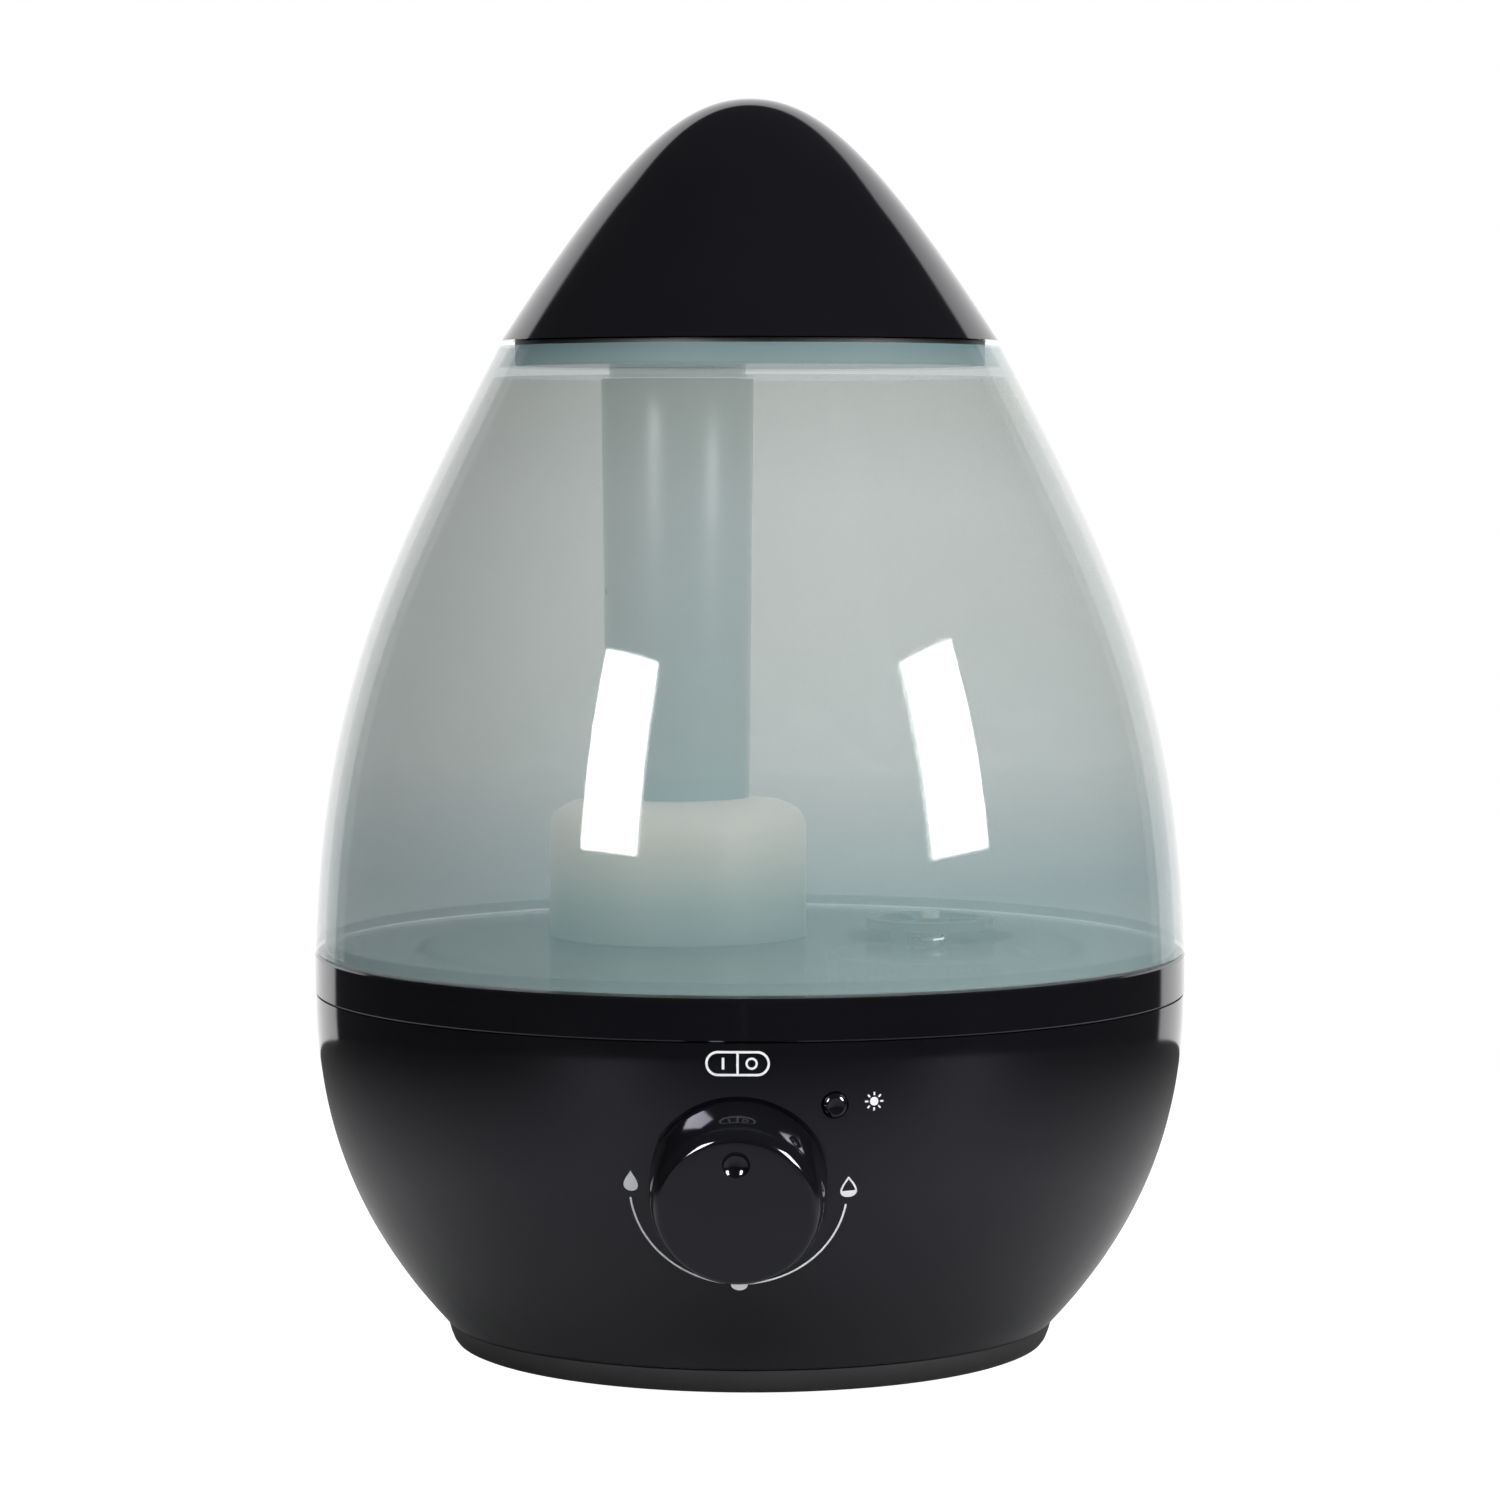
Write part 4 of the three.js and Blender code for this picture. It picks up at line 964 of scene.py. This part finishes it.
chamberOutline = [
    (32, 102.1), (32, 129), (31.6, 131.2), (30.4, 133), (28.6, 134.3), (26, 135.3), (21, 136), (15.6, 136),
    (15.3, 136.3), (15.3, 140.2), (15, 140.5), (13.7, 140.5), (13.7, 133.8), (21, 133.8), (26, 132.9),
    (28.3, 131.4), (29.5, 129.4), (29.8, 128), (29.8, 102.1)]


def makeChamber():
    chamber = spinPiece("mistChamber", chamberOutline, ductAxis.xy, smallSteps * 2)
    smoothShade(chamber)
    settle(chamber, chamberWhite, "tank", "milky", "mist_chamber")


ductLook = {"outline": [(17.8, 136.4), (18.9, 240.3), (17.1, 240.3), (16, 136.4)], "round": 0.4}


def makeDuct():
    duct = spinPiece("mistDuct", ductLook["outline"], ductAxis.xy, smallSteps * 2)
    softenEdges(duct, ductLook["round"])
    smoothShade(duct)
    settle(duct, ductTeal, "tank", "duct_tint", "mist_duct")


capLook = {"wall": 2.4, "mouthWall": 2.88, "poleGap": 0.5, "ribInner": 55.2, "ribBottom": 249.9,
           "ribTop": 251.4, "ribGap": 1}
outletLook = {"halfWidth": 17, "bottom": 283.5, "height": 8, "reach": 70}


def makeCap():
    look = capLook
    inner = [p for p in insideWall(capCurve, look["wall"]) if p[0] > look["poleGap"]]
    inner[0] = (capCurve[0][0] - look["mouthWall"], capCurve[0][1])
    profile = capCurve + [(0, capCurve[-1][1] - look["wall"])] + inner[::-1]
    cap = spinPiece("mistCap", profile, bodyAxis.xy)
    ribOuter = radiusAt(capCurve, look["ribTop"]) - look["ribGap"]
    ribOutline = [(look["ribInner"], look["ribBottom"]), (ribOuter, look["ribBottom"]),
                  (ribOuter, look["ribTop"]), (look["ribInner"], look["ribTop"])]
    rib = spinPiece("rib", ribOutline, bodyAxis.xy)
    combine(cap, [rib], "UNION")
    combine(cap, [outletCutter()], "DIFFERENCE")
    smoothShade(cap, 25)
    settle(cap, blackGloss, "mist_cap", "black_gloss", "mist_cap")


def outletCutter():                    # a slot with round ends, out through the rear
    radius, reach = outletLook["height"] / 2, outletLook["reach"] * mm
    clearSelection()
    bpy.ops.mesh.primitive_cylinder_add(vertices=48, radius=radius * mm, depth=reach,
                                        rotation=(math.radians(90), 0, 0))
    cutter = bpy.context.object
    bpy.ops.object.transform_apply(location=True, rotation=True, scale=True)
    bpy.ops.object.mode_set(mode="EDIT")
    for side in (1, -1):
        bpy.ops.mesh.select_all(action="DESELECT")
        bpy.ops.object.mode_set(mode="OBJECT")
        for vertex in cutter.data.vertices:
            vertex.select = vertex.co.x * side > 0.01 * mm
        bpy.ops.object.mode_set(mode="EDIT")
        bpy.ops.transform.translate(value=(side * (outletLook["halfWidth"] - radius) * mm, 0, 0))
    bpy.ops.object.mode_set(mode="OBJECT")
    place = Vector((bodyAxis.x, bodyAxis.y + reach / 2, (outletLook["bottom"] + radius) * mm))
    return moveBy(cutter, Matrix.Translation(place))


collarLook = {
    "outline": [(0, 243.5), (54.5, 243.5), (54.5, 247.4), (56, 247.4), (56, 243.5), (58.0, 243.5),
                (58.2, 243.8), (58.2, 249.4), (57.9, 249.6), (54.5, 249.6), (54.5, 253.6), (54.1, 254),
                (52.7, 254), (52.3, 253.6), (52.3, 246), (51.8, 245.5), (0, 245.5)],
    "hole": (17, 240, 250)}            # radius, bottom, top


def makeCollar():
    collar = spinPiece("lidCollar", collarLook["outline"], bodyAxis.xy)
    combine(collar, [rodPiece("collarHole", *collarLook["hole"], ductAxis.xy)], "DIFFERENCE")
    smoothShade(collar)
    settle(collar, blackMatt, "lid_collar", "black_matt", "lid_collar")


lensDome = curvePoints([(4.4, 69.9), (4.1, 72.2), (2.3, 73.2), (0, 73.2)], 12)

# Small turned pieces: an outline of [radius, height] points, and how far its edges are rounded.
smallPieces = [
    {"name": "transducerSeal", "node": "transducer_seal", "body": "root", "finish": rubber, "slot": "rubber",
     "outline": [(10.6, 63), (15.5, 63), (15.5, 65.7), (12.8, 65.7), (12.8, 63.5), (10.6, 63.5)],
     "round": 0.15},
    {"name": "transducerDisc", "node": "transducer_disc", "body": "root", "finish": steel, "slot": "steel",
     "outline": [(0, 63.8), (12.4, 63.8), (12.4, 65), (8.6, 65), (8.5, 64.85), (7.9, 64.85), (7.8, 65),
                 (0, 65)],
     "round": 0.04},
    {"name": "floatRing", "node": "float_ring", "body": "float", "finish": sealWhite, "slot": "seal",
     "outline": [(3.1, 72.1), (5.8, 72.1), (5.8, 69.5), (10, 69.5), (10, 79), (7.6, 79), (7.4, 78.6),
                 (6, 78.6), (5.8, 79), (3.1, 79)], "round": 0.5},
    {"name": "floatClip", "node": "float_clip", "body": "root", "finish": blackMatt, "slot": "black_matt",
     "outline": [(0, 86.4), (2.9, 86.4), (2.9, 84.9), (4.6, 84.9), (4.6, 87.8), (0, 87.8)], "round": 0.4},
    {"name": "nightLightLens", "node": "night_light_lens", "body": "root", "finish": milky, "slot": "milky",
     "outline": [(0, 68.7), (5.6, 68.7), (5.6, 69.7)] + lensDome,
     "round": 0.15},
    {"name": "fillGasket", "node": "fill_gasket", "body": "fill_cap", "finish": sealWhite, "slot": "seal",
     "outline": [(20.9, 88.5), (23.9, 88.5), (23.9, 90.2), (20.9, 90.2)], "round": 0.5},
    {"name": "valvePlunger", "node": "valve_plunger", "body": "valve", "finish": milky, "slot": "milky",
     "outline": [(0, 80.3), (2.4, 80.3), (2.4, 93.1), (9, 93.1), (9, 94.9), (2.4, 94.9), (2.4, 108),
                 (0, 108)],
     "round": 0.5},
    {"name": "valveSeal", "node": "valve_seal", "body": "valve", "finish": sealWhite, "slot": "seal",
     "outline": [(2.8, 91.6), (8.4, 91.6), (8.4, 92.8), (2.8, 92.8)], "round": 0.35},
]


def makeSmallPieces():
    for look in smallPieces:
        piece = spinPiece(look["name"], look["outline"], middleOf(look["node"]).xy)
        softenEdges(piece, look["round"])
        smoothShade(piece)
        settle(piece, look["finish"], look["body"], look["slot"], look["node"])


capCupLook = {"hole": 5, "radius": 26, "skirt": 24.2, "bottom": 86, "floor": 88.2, "top": 97.5, "steps": 144,
              "round": 0.5}
gripLook = {"ribs": 36, "proud": 0.4, "radius": 0.8, "short": 1.2, "steps": 12}
cageLook = {"outer": 16, "inner": 12.6, "bottom": 104, "top": 106.3, "hub": 5, "guide": 2.9, "legs": 3,
            "leg": 3.6, "spoke": 3, "legInset": 0.2, "legSunk": 0.3, "spokeLap": 0.8, "spokeInset": 0.15}


def makeCage():                        # guides the valve's plunger above the fill cap
    look = cageLook
    low, high, foot = look["bottom"], look["top"], capCupLook["floor"] - look["legSunk"]
    inset, lap, slim = look["legInset"], look["spokeLap"], look["spokeInset"]
    cage = [ringPiece("hoop", (look["inner"], look["outer"], low), high, (0, 0)),
            ringPiece("hub", (look["guide"], look["hub"], low), high, (0, 0))]
    for i in range(look["legs"]):
        turn = Matrix.Rotation(math.tau * i / look["legs"], 4, "Z")
        leg = boxPiece("leg", (look["inner"] + inset, -look["leg"] / 2, foot),
                       (look["outer"] - inset, look["leg"] / 2, high - inset))
        spoke = boxPiece("spoke", (look["hub"] - lap, -look["spoke"] / 2, low + slim),
                         (look["inner"] + lap, look["spoke"] / 2, high - slim))
        cage += [moveBy(leg, turn), moveBy(spoke, turn)]
    return cage


def makeGrip():                        # ribs round the fill cap, joined in one mesh
    look = gripLook
    low, high = capCupLook["bottom"] + look["short"], capCupLook["top"] - look["short"]
    spot = ((capCupLook["radius"] - look["radius"] + look["proud"]) * mm, 0)
    ribs = []
    for i in range(look["ribs"]):
        rib = rodPiece("rib", look["radius"], low, high, spot, look["steps"])
        ribs.append(moveBy(rib, Matrix.Rotation(math.tau * i / look["ribs"], 4, "Z")))
    clearSelection()
    for rib in ribs:
        rib.select_set(True)
    bpy.context.view_layer.objects.active = ribs[0]
    bpy.ops.object.join()
    return ribs[0]


def makeFillCap():
    look = capCupLook
    outline = [(look["hole"], look["bottom"]), (look["radius"], look["bottom"]),
               (look["radius"], look["top"]), (look["skirt"], look["top"]),
               (look["skirt"], look["floor"]), (look["hole"], look["floor"])]
    cup = spinPiece("fillCap", outline, steps=look["steps"])
    softenEdges(cup, look["round"])
    combine(cup, makeCage(), "UNION")
    combine(cup, [makeGrip()], "UNION")
    moveBy(cup, Matrix.Translation((fillAxis.x, fillAxis.y, 0)))
    smoothShade(cup)
    settle(cup, fillCapTint, "fill_cap", "milky", "fill_cap")


baffleLook = {"under": [(0, 264.3), (9, 264.3), (18, 263.4), (25.5, 262.5)], "underSteps": 16, "wall": 2,
              "round": 0.6, "steps": 96}
baffleLegs = {"count": 3, "circle": 22.5, "radius": 1.7, "bottom": 245.8, "top": 263.5, "steps": 32,
              "round": 0.3}


def makeBaffle():
    low = curvePoints(baffleLook["under"], baffleLook["underSteps"])
    high = [(r, z + baffleLook["wall"]) for r, z in reversed(low)]
    baffle = spinPiece("splashBaffle", low + high, steps=baffleLook["steps"])
    softenEdges(baffle, baffleLook["round"])
    look = baffleLegs
    spot = (-look["circle"] * mm, 0)
    legs = []
    for i in range(look["count"]):
        leg = rodPiece("leg", look["radius"], look["bottom"], look["top"], spot, look["steps"])
        softenEdges(leg, look["round"])
        legs.append(moveBy(leg, Matrix.Rotation(math.tau * i / look["count"], 4, "Z")))
    combine(baffle, legs, "UNION")
    moveBy(baffle, Matrix.Translation((ductAxis.x, ductAxis.y, 0)))
    smoothShade(baffle)
    settle(baffle, blackMatt, "lid_collar", "black_matt", "splash_baffle")


makeSmallPieces()
makeFillCap()
makeBaffle()
makeTank()
makeTankFloor()
makeChamber()
makeDuct()
makeCap()
makeCollar()
print("tank and cap made")

keptFinishes = [
    (steel, ["clamp_screw_1", "clamp_screw_2", "float_magnet", "fan_stator", "fan_shaft", "transformer",
             "control_pot", "pot_nut", "valve_spring"]),
    (aluminium, ["transducer_clamp", "heat_sink", "knob_shaft"]),
    (blackMatt, ["fan_housing", "fan_impeller", "power_transistor", "light_switch"]),
    (milky, ["air_duct"]),
    (boardGreen, ["driver_board", "reed_switch"]),
    (copper, ["drive_coil"]),
    (clearResin, ["night_light_led"]),
    (sleeve, ["filter_capacitor"]),
]
for material, names in keptFinishes:
    for name in names:
        node = frame["nodes"][name]
        node.data.materials.clear()
        node.data.materials.append(material)
print("kept pieces finished")
